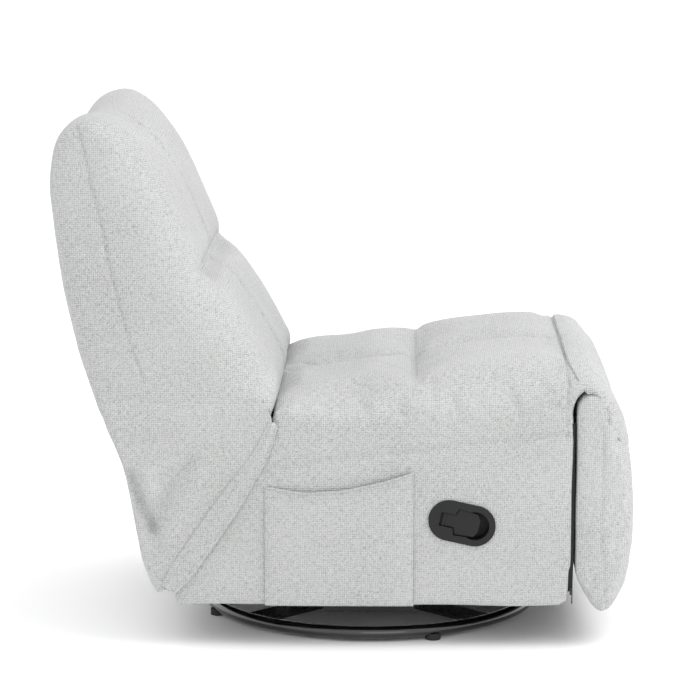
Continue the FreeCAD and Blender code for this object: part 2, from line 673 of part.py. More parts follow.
def make_handle():
    length = s.bezel_length - s.bezel_lip * 2
    height = s.bezel_height - s.bezel_lip * 2
    bezel = document.addObject("PartDesign::Body", "bezel_body")
    flange = handle_sketch(bezel, "bezel_flange_outline", -(side_face + s.bezel_flange),
                           s.bezel_length, s.bezel_height)
    pad(bezel, flange, s.bezel_flange)
    housing = handle_sketch(bezel, "bezel_housing_outline", -side_face, length, height)
    pad(bezel, housing, s.housing_depth)
    wall = s.housing_wall
    well_radius = height / 2 - wall
    well = new_sketch(bezel, "finger_well_outline", "YZ_Plane", Size.of(0))
    draw_circle(well, (well_radius - length / 2 + wall, Size.of(0)), well_radius)
    sink(bezel, well, s.bezel_flange + s.housing_depth - wall)
    recess = new_sketch(bezel, "paddle_recess_outline", "YZ_Plane", Size.of(0))
    draw_outline(recess, paddle_outline(s.paddle_gap))
    sink(bezel, recess, s.bezel_flange + s.paddle_thickness + s.knuckle_radius / 2)
    node(bezel, "handle_bezel")

    turn = FreeCAD.Rotation(FreeCAD.Vector(1, 0, 0), SIZES["handle_tilt"])
    plane_x = side_face - s.paddle_thickness / 2
    pin_length = s.neck_width + (s.paddle_gap + wall * 2) * 2
    pin = document.addObject("PartDesign::Body", "paddle_pin_body")
    sketch = new_sketch(pin, "paddle_pin_outline", "XY_Plane", -pin_length / 2)
    draw_circle(sketch, (Size.of(0), s.paddle_pivot), s.paddle_pin)
    pad(pin, sketch, pin_length)

    thick = s.paddle_thickness / 2
    paddle = document.addObject("PartDesign::Body", "paddle_body")
    half_neck = s.neck_width / 2
    blade = new_sketch(paddle, "paddle_outline", "YZ_Plane", -thick)
    draw_outline(blade, paddle_outline(Size.of(0)))
    pad(paddle, blade, s.paddle_thickness)
    knuckle = new_sketch(paddle, "knuckle_outline", "XY_Plane", -half_neck)
    draw_circle(knuckle, (Size.of(0), s.paddle_pivot), s.knuckle_radius)
    pad(paddle, knuckle, s.neck_width)
    bore = new_sketch(paddle, "knuckle_bore", "XY_Plane", -half_neck)
    draw_circle(bore, (Size.of(0), s.paddle_pivot), s.paddle_pin + s.pin_play)
    hole = paddle.newObject("PartDesign::Pocket", "knuckle_bore_cut")
    hole.Profile = bore
    hole.Reversed = True
    bind(hole, Length=s.neck_width)
    bore.Visibility = False
    paddle.Tip = hole
    for body in (pin, paddle):
        body.Placement = FreeCAD.Placement(FreeCAD.Vector(), turn)
        bind(body, Placement__Base__x=-plane_x, Placement__Base__y=s.handle_y,
             Placement__Base__z=s.handle_z)
    node(pin, "paddle_pin")
    node(paddle, "release_paddle")


def make_cable():
    """The release cable: up from its anchor on the board, then forward to the latch."""
    x = -(hinge_x[0].value - SIZES["side_gap"])
    start_y = SIZES["handle_y"] + SIZES["cable_start"]
    start_z = SIZES["handle_z"] + SIZES["bezel_height"] / 2
    latch_y = SIZES["drive_y"] + SIZES["tube_radius"] + SIZES["latch_length"]
    latch_z = SIZES["drive_z"] + SIZES["latch_rise"]
    points = [FreeCAD.Vector(x, start_y, start_z),
              FreeCAD.Vector(x, start_y, start_z + SIZES["cable_rise"]),
              FreeCAD.Vector(x, start_y - SIZES["cable_step"], latch_z - SIZES["cable_fall"]),
              FreeCAD.Vector(x, latch_y, latch_z)]
    edges = []
    last = points[0]
    for before, corner, after in zip(points, points[1:], points[2:]):
        into = (corner - before).normalize()
        out = (after - corner).normalize()
        turn = into.getAngle(out)
        setback = 0.45 * min((corner - before).Length, (after - corner).Length)
        radius = setback / math.tan(turn / 2)
        print(f"cable bend radius {radius:.0f} mm")
        start = corner - into * setback
        end = corner + out * setback
        inward = (out - into).normalize()
        middle = corner + inward * (radius / math.cos(turn / 2) - radius)
        edges.append(Part.LineSegment(last, start).toShape())
        edges.append(Part.Arc(start, middle, end).toShape())
        last = end
    edges.append(Part.LineSegment(last, points[-1]).toShape())
    path = Part.Wire(edges)
    circle = Part.makeCircle(SIZES["cable_radius"], points[0], points[1] - points[0])
    tube = path.makePipeShell([Part.Wire(circle)], True, False)
    expected = math.pi * SIZES["cable_radius"] ** 2 * path.Length
    print(f"cable length {path.Length:.0f} mm, volume ratio {tube.Volume / expected:.3f}")
    soft("release_cable", tube)

    across = mirrored(-1, board_in - s.clamp_depth, board_in)
    anchor_y, anchor_top = s.handle_y + s.cable_start, s.handle_z + s.bezel_height / 2
    anchor = box("anchor_block", across,
                 (anchor_y - s.anchor_width / 2, anchor_y + s.anchor_width / 2),
                 (anchor_top - s.anchor_height, anchor_top))
    node(anchor, "cable_anchor")
    latch_front = s.drive_y + s.tube_radius + s.side_gap * 3
    latch_z = s.drive_z + s.latch_rise
    node(box("latch_case", across, (latch_front, s.drive_y + s.tube_radius + s.latch_length),
             (latch_z - s.clamp_depth, latch_z + s.clamp_depth)), "release_latch")


# ---------------------------------------------------------------- seat upholstery


def make_seat_upholstery():
    half = half_width.value
    deck = SIZES["deck_height"]
    top = SIZES["seat_top"]
    rear_top = top - SIZES["seat_fall"]
    front = SIZES["front_seam"]
    rear = SIZES["cushion_rear"]
    crown_y = (front + rear) / 2
    crown_z = (top + rear_top) / 2 + SIZES["seat_crown"]
    edges = lines([at(rear, rear_top), at(rear, deck), at(front, deck), at(front, top)])
    edges.append(arc(at(front, top), at(crown_y, crown_z), at(rear, rear_top)))
    cushion = side_prism(edges, half)
    long_edges = [e for e in cushion.Edges if isinstance(e.Curve, Part.Circle)]
    radius = min(SIZES["shoulder_radius"], rear_top - deck - SIZES["edge_margin"])
    soft("seat_cushion", cushion.makeFillet(radius, long_edges))

    pivot_y, pivot_z = SIZES["legrest_y"], SIZES["legrest_z"]
    clear = SIZES["footrest_round"] + SIZES["bolster_gap"]
    body_front = SIZES["body_front"]
    nose = front - SIZES["bolster_reach"]
    low = deck + SIZES["bolster_lift"]
    reach = body_front - pivot_y
    hollow_z = pivot_z - math.sqrt(clear ** 2 - reach ** 2)
    nose_z = pivot_z + math.sqrt(clear ** 2 - (nose - pivot_y) ** 2)
    lean = math.radians(45)
    edges = lines([at(nose, nose_z), at(nose, top - SIZES["bolster_drop"])])
    edges.append(arc(at(nose, top - SIZES["bolster_drop"]),
                     at(front - SIZES["bolster_reach"] * 0.62, top - SIZES["bolster_drop"] * 0.3),
                     at(front, top)))
    edges += lines([at(front, top), at(front, low), at(body_front, low), at(body_front, hollow_z)])
    edges.append(arc(at(body_front, hollow_z),
                     at(pivot_y + clear * math.cos(lean), pivot_z + clear * math.sin(lean)),
                     at(nose, nose_z)))
    bolster = side_prism(edges, half)
    shoulder = min(SIZES["shoulder_radius"], top - low - SIZES["edge_margin"] * 2)
    soft("front_bolster", bolster.common(shouldered_prism(half, shoulder, low, top, nose, front)))

    for side, sign in SIDES:
        front_y, rear_y = s.body_front, s.rear_rail_front
        deck_z = s.deck_height
        outline = [(front_y, s.body_bottom), (s.strip_bottom_y, s.body_bottom),
                   (s.strip_low_y, s.strip_low_z), (rear_y, deck_z), (front_y, deck_z)]
        panel = plate(f"side_padding_{side}_panel", "YZ_Plane",
                      mirrored(sign, board_out, side_face), outline)
        if side == "right":
            cut_handle_hole(panel, s.bezel_play, board_out, side_face)
        node(panel, f"side_padding_{side}")


def make_pocket():
    inner = -(side_face + s.pocket_gap)
    body = document.addObject("PartDesign::Body", "pocket_body")
    panel = new_sketch(body, "pocket_panel_outline", "YZ_Plane", inner - s.pocket_cloth)
    bottom = s.body_bottom
    middle = (s.pocket_rear + s.pocket_front) / 2
    dip = (s.pocket_rear_top + s.pocket_front_top) / 2 - s.pocket_dip
    draw_outline(panel, [
        (s.pocket_front, bottom), (s.pocket_rear, bottom), (s.pocket_rear, s.pocket_rear_top),
        (middle, dip), (s.pocket_front, s.pocket_front_top)])
    pad(body, panel, s.pocket_cloth)
    hem = new_sketch(body, "pocket_hem_outline", "YZ_Plane", inner)
    draw_outline(hem, [
        (s.pocket_front, bottom), (s.pocket_rear, bottom),
        (s.pocket_rear, s.pocket_rear_top - s.pocket_turn),
        (s.pocket_rear - s.pocket_hem, s.pocket_rear_top - s.pocket_turn),
        (s.pocket_rear - s.pocket_hem, bottom + s.pocket_hem),
        (s.pocket_front + s.pocket_hem, bottom + s.pocket_hem),
        (s.pocket_front + s.pocket_hem, s.pocket_front_top - s.pocket_turn),
        (s.pocket_front, s.pocket_front_top - s.pocket_turn)])
    pad(body, hem, s.pocket_gap)
    node(body, "side_pocket")

    y, z = s.body_front, s.body_bottom + s.zip_height
    x = (s.zip_inset - side_face, s.zip_inset + s.zip_width - side_face)
    tab = (x[0] + s.zip_inset / 2, x[1] - s.zip_inset / 2)
    pieces = [box("zip_slider_block", x, (y - s.zip_depth, y), (z, z + s.zip_length)),
              box("zip_pull_tab", tab, (y - s.zip_depth, y - s.zip_depth + s.zip_inset),
                  (z - s.zip_pull, z))]
    node(group("zip_set", pieces), "zip_slider")


# ---------------------------------------------------------------- footrest and its drive


def make_footrest():
    half = half_width.value
    y, z = SIZES["legrest_y"], SIZES["legrest_z"]
    r = SIZES["footrest_round"]
    bottom, front = SIZES["footrest_bottom"], SIZES["footrest_front"]
    rear = y + r
    lift, drop = math.radians(50), math.radians(140)
    crest = at(y + r * math.cos(drop), z + r * math.sin(drop))
    edges = [arc(at(rear, z), at(y + r * math.cos(lift), z + r * math.sin(lift)), crest)]
    belly = (z + bottom) / 2 - SIZES["belly_drop"]
    toe = front + SIZES["toe_setback"]
    low, high = bottom + SIZES["toe_low"], bottom + SIZES["toe_high"]
    edges.append(curve([crest, at(front + SIZES["shin_setback"], z - SIZES["shin_drop"]),
                        at(front, belly), at(front + SIZES["shin_setback"] / 2, high),
                        at(front + SIZES["toe_rear"], low), at(toe, bottom),
                        at(toe + SIZES["toe_rear"], low), at(rear, high)]))
    edges += lines([at(rear, high), at(rear, z)])
    cushion = side_prism(edges, half)
    margin = SIZES["bar_margin"]
    bar = block((-half, half), (front - margin, rear + margin), (bottom - margin, z + r + margin))
    upright = [e for e in bar.Edges if abs(e.CenterOfMass.y - front + margin) < 1
               and abs(e.CenterOfMass.x) > half - 1]
    cushion = cushion.common(bar.makeFillet(SIZES["footrest_corner"], upright))

    board_rear = s.legrest_y + s.board_setback
    board_front = board_rear - s.footrest_board
    board_half = board_in + s.steel_plate
    board_low, board_high = s.footrest_bottom + s.panel_low, s.legrest_z - s.panel_top
    play = SIZES["hinge_side_gap"]
    cushion = cushion.cut(block((-board_half.value, board_half.value),
                                (board_front.value, board_rear.value),
                                (board_low.value, board_high.value)))
    boss, slack = SIZES["boss_radius"], SIZES["rear_slack"]
    for side, sign in SIDES:
        x0, x1 = mirrored(sign, drive_link_x[0].value - play, hinge_x[1].value + play)
        cushion = cushion.cut(block((x0, x1), (y - boss - play, rear + slack),
                                    (board_high.value, z + r + slack)))
        cushion = cushion.cut(block((x0, x1), (board_rear.value, rear + slack),
                                    (lug_z.value - SIZES["lug_slot"], board_high.value)))
    soft("footrest_cushion", cushion)
    node(box("footrest_panel", (-board_half, board_half), (board_front, board_rear),
             (board_low, board_high)), "footrest_board")

    b = s.boss_radius
    c = s.crank_boss
    brackets = []
    outline = [(board_rear, lug_z - s.bracket_heel), (lug_y, lug_z - c * 1.4),
               (lug_y + c, lug_z - c / 2),
               (lug_y + c, lug_z + c / 2), (lug_y - c / 3, lug_z + c * 1.6),
               (s.legrest_y + b, board_high - s.bracket_shoulder),
               (s.legrest_y + b, s.legrest_z + b),
               (s.legrest_y - b, s.legrest_z + b), (s.legrest_y - b, board_high + s.steel_plate),
               (board_rear, board_high)]
    holes = [(s.legrest_y, s.legrest_z, s.drive_pin + s.pin_play), (lug_y, lug_z, s.drive_pin)]
    for side, sign in SIDES:
        brackets.append(plate(f"bracket_{side}", "YZ_Plane", mirrored(sign, *bracket_x),
                              outline, holes))
    node(group("bracket_set", brackets), "footrest_brackets")
    lug_pins = [rod(f"lug_pin_{side}", "x",
                    mirrored(sign, drive_link_x[0] - 1, bracket_x[1])[0], lug_y, lug_z,
                    s.drive_pin, bracket_x[1] - drive_link_x[0] + 1) for side, sign in SIDES]
    node(group("lug_pin_set", lug_pins), "footrest_lug_pins")

    hinges, pins = [], []
    arm_y, arm_z = s.legrest_y + s.arm_reach, s.legrest_z - s.arm_drop
    foot_z, rear_y = arm_z - s.arm_foot, arm_y + s.arm_width_rear
    w = s.hinge_arm
    outline = [(s.legrest_y - w, s.legrest_z - w), (arm_y - w * 1.5, arm_z - w),
               (arm_y - w, foot_z), (rear_y, foot_z), (rear_y, arm_z + s.arm_top),
               (arm_y + w, arm_z + w), (s.legrest_y + w, s.legrest_z + w),
               (s.legrest_y - w, s.legrest_z + w)]
    for side, sign in SIDES:
        hinges.append(plate(f"hinge_{side}", "YZ_Plane", mirrored(sign, *hinge_x), outline,
                            [(s.legrest_y, s.legrest_z, s.drive_pin)]))
        pins.append(rod(f"hinge_pin_{side}", "x", mirrored(sign, bracket_x[0], hinge_x[1])[0],
                        s.legrest_y, s.legrest_z, s.drive_pin, hinge_x[1] - bracket_x[0]))
    node(group("hinge_set", hinges), "footrest_hinges")
    node(group("hinge_pin_set", pins), "footrest_hinge_pins")


def make_drive():
    y, z = s.drive_y, s.drive_z
    end = board_in + s.board_thickness / 2
    tube = rod("drive_tube_bar", "x", -end, y, z, s.tube_radius, end * 2)
    bore = rod("drive_tube_bore", "x", -end, y, z, s.tube_radius - s.tube_wall, end * 2)
    pieces = [cut("drive_tube_hollow", tube, bore)]
    c = s.crank_boss
    outline = [(y - c, z + c), (y - c, z - c), (crank_y - c, crank_z + c), (crank_y - c,
               crank_z - c), (crank_y + c, crank_z - c), (crank_y + c, crank_z + c),
               (y + c, z - c), (y + c, z + c)]
    holes = [(y, z, s.tube_radius), (crank_y, crank_z, s.drive_pin)]
    for side, sign in SIDES:
        pieces.append(plate(f"crank_{side}", "YZ_Plane", mirrored(sign, *crank_x), outline, holes))
        start = mirrored(sign, crank_x[0], drive_link_x[1] + 1)[0]
        pieces.append(rod(f"crank_pin_{side}", "x", start, crank_y, crank_z, s.drive_pin,
                          drive_link_x[1] + 1 - crank_x[0]))
    node(group("drive_tube_set", pieces), "drive_tube")

    links = []
    for side, sign in SIDES:
        h = s.crank_boss * s.link_half_share
        outline = [(crank_y + h, crank_z - h), (crank_y + h, crank_z + h), (lug_y + h, lug_z + h),
                   (lug_y - h, lug_z + h), (lug_y - h, lug_z - h), (crank_y - h, crank_z - h)]
        holes = [(crank_y, crank_z, s.drive_pin + s.pin_play),
                 (lug_y, lug_z, s.drive_pin + s.open_play)]
        links.append(plate(f"drive_link_{side}", "YZ_Plane", mirrored(sign, *drive_link_x),
                           outline, holes))
    node(group("drive_link_set", links), "drive_links")

    bushes = []
    for side, sign in SIDES:
        x = mirrored(sign, board_in, board_out)[0]
        outer = rod(f"tube_bush_{side}", "x", x, y, z, s.tube_radius + s.tube_bush_wall,
                    s.board_thickness)
        inner = rod(f"tube_bush_bore_{side}", "x", x, y, z, s.tube_radius + s.pin_play,
                    s.board_thickness)
        bushes.append(cut(f"tube_bush_ring_{side}", outer, inner))
    node(group("tube_bush_set", bushes), "drive_tube_bushes")


# ---------------------------------------------------------------- backrest


def back_front_at(share):
    """The Y of the backrest's front line at a share of its height."""
    return SIZES["back_front"] + SIZES["back_lean"] * share


def back_height_at(share):
    return SIZES["back_low"] + (SIZES["back_top"] - SIZES["back_low"]) * share


def back_rear_at(share):
    thickness = SIZES["thick_low"] + (SIZES["thick_high"] - SIZES["thick_low"]) * share
    return back_front_at(share) + thickness


def frame_line():
    """The rear face of the back frame: a straight line from the kink to the top."""
    low = at(SIZES["kink_y"] - SIZES["frame_inset"], SIZES["kink_z"] + SIZES["frame_lift"])
    high = at(back_rear_at(0.86) - SIZES["frame_cover"], back_height_at(0.86))
    return low, high


def frame_slab(half, near, far, start, stop):
    """A slab in the back frame's plane, between two shares of the frame's length."""
    low, high = frame_line()
    along = high - low
    length = along.Length
    slab = Part.makeBox(2 * half, far - near, length * (stop - start),
                        FreeCAD.Vector(-half, near, length * start))
    tilt = math.degrees(math.atan2(along.y, along.z))
    slab.rotate(FreeCAD.Vector(), FreeCAD.Vector(1, 0, 0), -tilt)
    slab.translate(low)
    return slab


def make_back():
    half = half_width.value
    bulge = SIZES["pillow_bulge"]
    front_line = [at(back_front_at(0), back_height_at(0)),
                  at(back_front_at(0.24) - bulge, back_height_at(0.24)),
                  at(back_front_at(0.45), back_height_at(0.45)),
                  at(back_front_at(0.69) - bulge, back_height_at(0.69)),
                  at(back_front_at(0.9), back_height_at(0.9)),
                  at(back_front_at(1) + SIZES["crest_front"], back_height_at(1)),
                  at(back_rear_at(0.96) - SIZES["crest_rear"], back_height_at(0.96)),
                  at(back_rear_at(0.79) - SIZES["edge_margin"], back_height_at(0.79)),
                  at(back_rear_at(0.5), back_height_at(0.5)),
                  at(back_rear_at(0.16), back_height_at(0.16)),
                  at(SIZES["kink_y"], SIZES["kink_z"])]
    y, z = SIZES["recline_y"], SIZES["recline_z"]
    edges = [curve(front_line)]
    drop, ahead = SIZES["under_drop"], SIZES["under_front"]
    edges += lines([at(SIZES["kink_y"], SIZES["kink_z"]),
                    at(y + SIZES["belly_depth"], z - SIZES["belly_lift"]), at(y, z - drop),
                    at(y - ahead, z - SIZES["under_front_drop"]),
                    at(y - drop, z + SIZES["under_rise"]),
                    at(back_front_at(0), back_height_at(0))])
    cushion = side_prism(edges, half)
    rim = [e for e in cushion.Edges if isinstance(e.Curve, Part.BSplineCurve)]
    cushion = cushion.makeFillet(SIZES["back_corner"], rim)
    narrow = bracket_x[0].value - SIZES["back_narrow"]
    step = SIZES["back_step"]
    for sign in (1, -1):
        x0, x1 = mirrored(sign, narrow, half * 2)
        cushion = cushion.cut(block((x0, x1), (0, SIZES["kink_y"] * 2), (0, step)))
    depth = SIZES["stile_depth"]
    frame_half = bracket_x[0].value
    cushion = cushion.cut(frame_slab(frame_half, -depth, 0, -0.2, 1))
    soft("back_cushion", cushion)

    width = SIZES["stile_width"]
    stiles = []
    reach = SIZES["back_top"] * 2
    for sign in (1, -1):
        x0, x1 = mirrored(sign, frame_half - width, frame_half)
        stile = frame_slab(frame_half, -depth, 0, 0, 0.995)
        stiles.append(stile.common(block((x0, x1), (-reach, reach), (0, reach))))
    soft("back_stiles", Part.makeCompound(stiles))
    length = (frame_line()[1] - frame_line()[0]).Length
    share = SIZES["back_rail_height"] / length
    rails = []
    for start in (0.02, 0.5, 0.995 - share):
        rails.append(frame_slab(frame_half - width, -depth, 0, start, start + share))
    soft("back_rails", Part.makeCompound(rails))
    bands = []
    web = SIZES["web_thickness"]
    band_share = SIZES["web_width"] / length
    for start in (0.2, 0.32, 0.68, 0.78):
        bands.append(frame_slab(frame_half - width, -depth, -depth + web,
                                start, start + band_share))
    soft("back_webbing", Part.makeCompound(bands))

    boss = s.boss_radius
    low, high = frame_line()
    for side, sign in SIDES:
        end = Size.of(low.y)
        below, above = s.recline_z - s.frame_lift, s.back_step - s.step_gap
        outline = [(s.recline_y - boss, s.recline_z - boss),
                   (s.recline_y + boss, s.recline_z - boss),
                   (end - s.frame_inset, below), (end, below),
                   (end + s.arm_tip, above), (end - s.arm_tip, above),
                   (end - s.arm_back, s.recline_z + s.arm_rise),
                   (s.recline_y + boss, s.recline_z + boss),
                   (s.recline_y - boss, s.recline_z + boss)]
        node(plate(f"back_arm_{side}", "YZ_Plane", mirrored(sign, *bracket_x), outline,
                   [(s.recline_y, s.recline_z, s.pin_radius + s.pin_play)]),
             f"back_bracket_{side}")

    hinges, pins = [], []
    foot = s.rear_rail_front + s.rear_rail_depth + s.side_gap
    foot_z = s.recline_z - s.hinge_foot
    outline = [(s.recline_y - boss, s.recline_z + boss), (foot, s.recline_z - s.hinge_drop),
               (foot, foot_z), (foot + s.hinge_foot_width, foot_z),
               (s.recline_y + boss, s.recline_z - boss),
               (s.recline_y + boss, s.recline_z + boss)]
    for side, sign in SIDES:
        hinges.append(plate(f"back_hinge_{side}", "YZ_Plane", mirrored(sign, *hinge_x), outline,
                            [(s.recline_y, s.recline_z, s.pin_radius)]))
        pins.append(rod(f"recline_pin_{side}", "x", mirrored(sign, bracket_x[0], hinge_x[1])[0],
                        s.recline_y, s.recline_z, s.pin_radius, hinge_x[1] - bracket_x[0]))
    node(group("back_hinge_set", hinges), "back_hinges")
    node(group("recline_pin_set", pins), "recline_pins")


def make_skirt():
    """The loose fabric that closes the back: a rear panel with a wing along each side."""
    half = half_width.value
    cloth, gap = SIZES["skirt_cloth"], SIZES["skirt_gap"]
    ky, kz = SIZES["kink_y"], SIZES["kink_z"] - gap
    low = SIZES["skirt_bottom"]
    step = SIZES["back_step"] - gap
    slack, top_y = SIZES["skirt_slack"], ky + SIZES["skirt_top_out"]
    strip_y, strip_z = SIZES["strip_low_y"] + slack, SIZES["strip_low_z"]
    rear = [at(ky, kz), at(ky - SIZES["skirt_upper_in"], kz - SIZES["skirt_upper_drop"]),
            at(ky - SIZES["skirt_lower_in"], kz - SIZES["skirt_lower_drop"]),
            at(ky - SIZES["skirt_hem_in"], low + SIZES["skirt_hem_rise"]),
            at(SIZES["strip_bottom_y"] + slack, low)]
    outer = lines([at(top_y, step), at(ky, kz)]) + [curve(rear)]
    outer += lines([rear[-1], at(strip_y, strip_z), at(SIZES["rear_rail_front"] + slack, step),
                    at(top_y, step)])
    skirt = side_prism(outer, half)
    inner_rear = [point + at(-cloth, 0) for point in rear]
    beyond, over = top_y + cloth * gap, step + cloth
    inner = lines([at(beyond, over), at(beyond, kz), inner_rear[0]])
    inner.append(curve(inner_rear))
    inner += lines([inner_rear[-1], at(-ky, low), at(-ky, over), at(beyond, over)])
    soft("back_skirt", skirt.cut(side_prism(inner, half - SIZES["skirt_side"])))


# ---------------------------------------------------------------- build, check and export


def check_and_export():
    document.recompute()
    for item in document.Objects:
        broken = {"Invalid", "Error"} & set(item.State)
        if broken:
            raise RuntimeError(f"{item.Name}: {broken} {item.getStatusString()}")
    for item in nodes:
        shape = item.Shape
        if shape.isNull() or not shape.isValid() or not shape.Solids:
            raise RuntimeError(f"{item.Label} has no valid solid")
    os.makedirs("parts", exist_ok=True)
    for item in nodes:
        item.Shape.exportStep(f"parts/{item.Label}.step")
    print(len(nodes), "sub-parts written")


make_base()
make_glide()
make_links()
make_seat_frame()
make_springs()
make_handle()
make_cable()
make_seat_upholstery()
make_pocket()
make_footrest()
make_drive()
make_back()
make_skirt()
check_and_export()
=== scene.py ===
# %% [markdown]
# # Armless swivel glider recliner
#
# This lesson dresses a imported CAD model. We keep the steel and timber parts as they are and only
# give them finishes. The upholstery is made here, as cloth over foam.  +X is the sitter's left,
# so the handle and the pocket, on the sitter's right, are at -X.

# %% Load the frame
import json
import math

import bmesh
import bpy
import numpy as np
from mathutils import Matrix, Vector, noise
from mathutils.bvhtree import BVHTree


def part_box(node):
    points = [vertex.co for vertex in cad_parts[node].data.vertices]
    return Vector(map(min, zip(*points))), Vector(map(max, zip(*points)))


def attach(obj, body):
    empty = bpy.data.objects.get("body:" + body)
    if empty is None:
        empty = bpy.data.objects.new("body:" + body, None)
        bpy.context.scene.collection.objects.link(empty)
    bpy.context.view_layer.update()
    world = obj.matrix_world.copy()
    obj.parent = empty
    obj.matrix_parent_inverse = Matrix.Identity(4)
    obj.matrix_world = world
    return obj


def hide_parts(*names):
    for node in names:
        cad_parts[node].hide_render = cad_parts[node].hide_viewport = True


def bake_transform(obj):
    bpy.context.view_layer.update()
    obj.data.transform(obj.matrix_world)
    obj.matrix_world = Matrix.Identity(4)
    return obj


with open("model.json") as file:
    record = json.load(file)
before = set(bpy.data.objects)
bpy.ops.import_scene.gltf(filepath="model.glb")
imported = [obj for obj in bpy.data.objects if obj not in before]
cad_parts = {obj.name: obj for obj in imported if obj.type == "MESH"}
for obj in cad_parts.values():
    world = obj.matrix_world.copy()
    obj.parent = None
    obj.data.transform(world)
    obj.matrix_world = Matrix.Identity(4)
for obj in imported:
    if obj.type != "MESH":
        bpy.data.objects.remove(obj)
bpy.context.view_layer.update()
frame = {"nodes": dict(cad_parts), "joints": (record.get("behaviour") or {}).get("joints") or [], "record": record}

MM = 0.001
scene = bpy.context.scene

# %% [markdown]
# Every size below is read from the frame, so the cloth follows the design.  A node's box gives its
# lowest and highest corner.

# %% Sizes from the frame
seat_low, seat_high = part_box("seat_cushion")
back_low, back_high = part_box("back_cushion")
foot_low, foot_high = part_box("footrest_cushion")
pad_low, pad_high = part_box("side_padding_left")
roll_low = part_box("front_bolster")[0]
bezel_low, bezel_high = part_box("handle_bezel")
pocket_low, pocket_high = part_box("side_pocket")
joints = {joint["name"]: joint for joint in frame["joints"]}
HALF_WIDTH = seat_high.x
SIDE_FACE = pad_high.x
PAD_INNER = pad_low.x
BODY_BOTTOM = pad_low.z
BODY_FRONT = pad_low.y
SEAT_TOP = seat_high.z
DECK = seat_low.z
SEAT_REAR = seat_high.y
FRONT_SEAM = seat_low.y
print(f"half width {HALF_WIDTH:.3f}, seat top {SEAT_TOP:.3f}, back top {back_high.z:.3f}")

# %% [markdown]
# ## Finishes
#
# A colour picked on screen is in sRGB, but the renderer mixes light in linear values, so one
# function converts each hex colour.  One more function adds a node with its settings and links.

# %% Colour and node helpers


def linear(hex_colour):
    """Turns an sRGB hex colour into the linear RGBA that a node expects."""
    channels = [int(hex_colour[i:i + 2], 16) / 255 for i in (1, 3, 5)]
    return [c / 12.92 if c <= 0.04045 else ((c + 0.055) / 1.055) ** 2.4 for c in channels] + [1.0]


def add(tree, kind, settings=None, **inputs):
    """Adds one node.  Inputs are sockets to link or values to set, named like the socket."""
    item = tree.nodes.new(kind)
    for name, value in (settings or {}).items():
        setattr(item, name, value)
    for name, value in inputs.items():
        socket = item.inputs[int(name[1:])] if name[0] == "i" and name[1:].isdigit() \
            else item.inputs[name.replace("_", " ")]
        if isinstance(value, bpy.types.NodeSocket):
            tree.links.new(value, socket)
        else:
            socket.default_value = value
    return item


def new_finish(name, roughness, metallic=0.0):
    """An empty material with its main shader ready."""
    finish = bpy.data.materials.new(name)
    finish.use_nodes = True
    tree = finish.node_tree
    shader = tree.nodes["Principled BSDF"]
    shader.inputs["Roughness"].default_value = roughness
    shader.inputs["Metallic"].default_value = metallic
    return finish, tree, shader


# %% [markdown]
# ### Woven chenille upholstery cloth
#
# Woven on a dobby loom from thick, slightly fuzzy yarn.  Warp and weft pass over each other in
# cells, so the surface is a checker of small ridges that run one way and then the other.  The
# yarn is heathered: pale with darker flecks, and each pick varies a little in thickness.  The
# real yarns sit about 2.4 mm apart; they are drawn wider so that they show at this distance.

# %% Woven cloth
YARN_PITCH = 3.4 * MM


def weave_cells(tree, uv):
    """Splits the cloth into yarn cells: ridge height, and which yarn is on top."""
    wander = add(tree, "ShaderNodeTexNoise", {}, Vector=uv, Scale=1 / (22 * MM), Detail=2.0)
    shift = add(tree, "ShaderNodeVectorMath", {"operation": "SUBTRACT"},
                i0=wander.outputs["Color"], i1=(0.5, 0.5, 0.5))
    shift = add(tree, "ShaderNodeVectorMath", {"operation": "SCALE"},
                i0=shift.outputs[0], Scale=1.6 * MM)
    moved = add(tree, "ShaderNodeVectorMath", {"operation": "ADD"}, i0=uv, i1=shift.outputs[0])
    cells = add(tree, "ShaderNodeVectorMath", {"operation": "SCALE"},
                i0=moved.outputs[0], Scale=1 / YARN_PITCH)
    axes = add(tree, "ShaderNodeSeparateXYZ", {}, i0=cells.outputs[0])
    ridges = []
    for axis in ("X", "Y"):
        angle = add(tree, "ShaderNodeMath", {"operation": "MULTIPLY"},
                    i0=axes.outputs[axis], i1=math.pi)
        wave = add(tree, "ShaderNodeMath", {"operation": "SINE"}, i0=angle.outputs[0])
        ridges.append(add(tree, "ShaderNodeMath", {"operation": "ABSOLUTE"}, i0=wave.outputs[0]))
    over = add(tree, "ShaderNodeTexChecker", {}, Vector=cells.outputs[0], Scale=1.0,
               Color1=(1, 1, 1, 1), Color2=(0, 0, 0, 1))
    ridge = add(tree, "ShaderNodeMix", {"data_type": "FLOAT"}, i0=over.outputs["Fac"],
                i2=ridges[0].outputs[0], i3=ridges[1].outputs[0])
    return moved.outputs[0], over.outputs["Fac"], ridge.outputs[0]


def yarn_flecks(tree, uv, over):
    """Long flecks that run along whichever yarn is on top."""
    streaks = []
    for stretch in ((0.22, 1.0, 1.0), (1.0, 0.22, 1.0)):
        along = add(tree, "ShaderNodeVectorMath", {"operation": "MULTIPLY"}, i0=uv, i1=stretch)
        streaks.append(add(tree, "ShaderNodeTexNoise", {}, Vector=along.outputs[0],
                           Scale=1 / (2.2 * MM), Detail=1.5, Roughness=0.6))
    return add(tree, "ShaderNodeMix", {"data_type": "FLOAT"}, i0=over,
               i2=streaks[0].outputs["Fac"], i3=streaks[1].outputs["Fac"]).outputs[0]


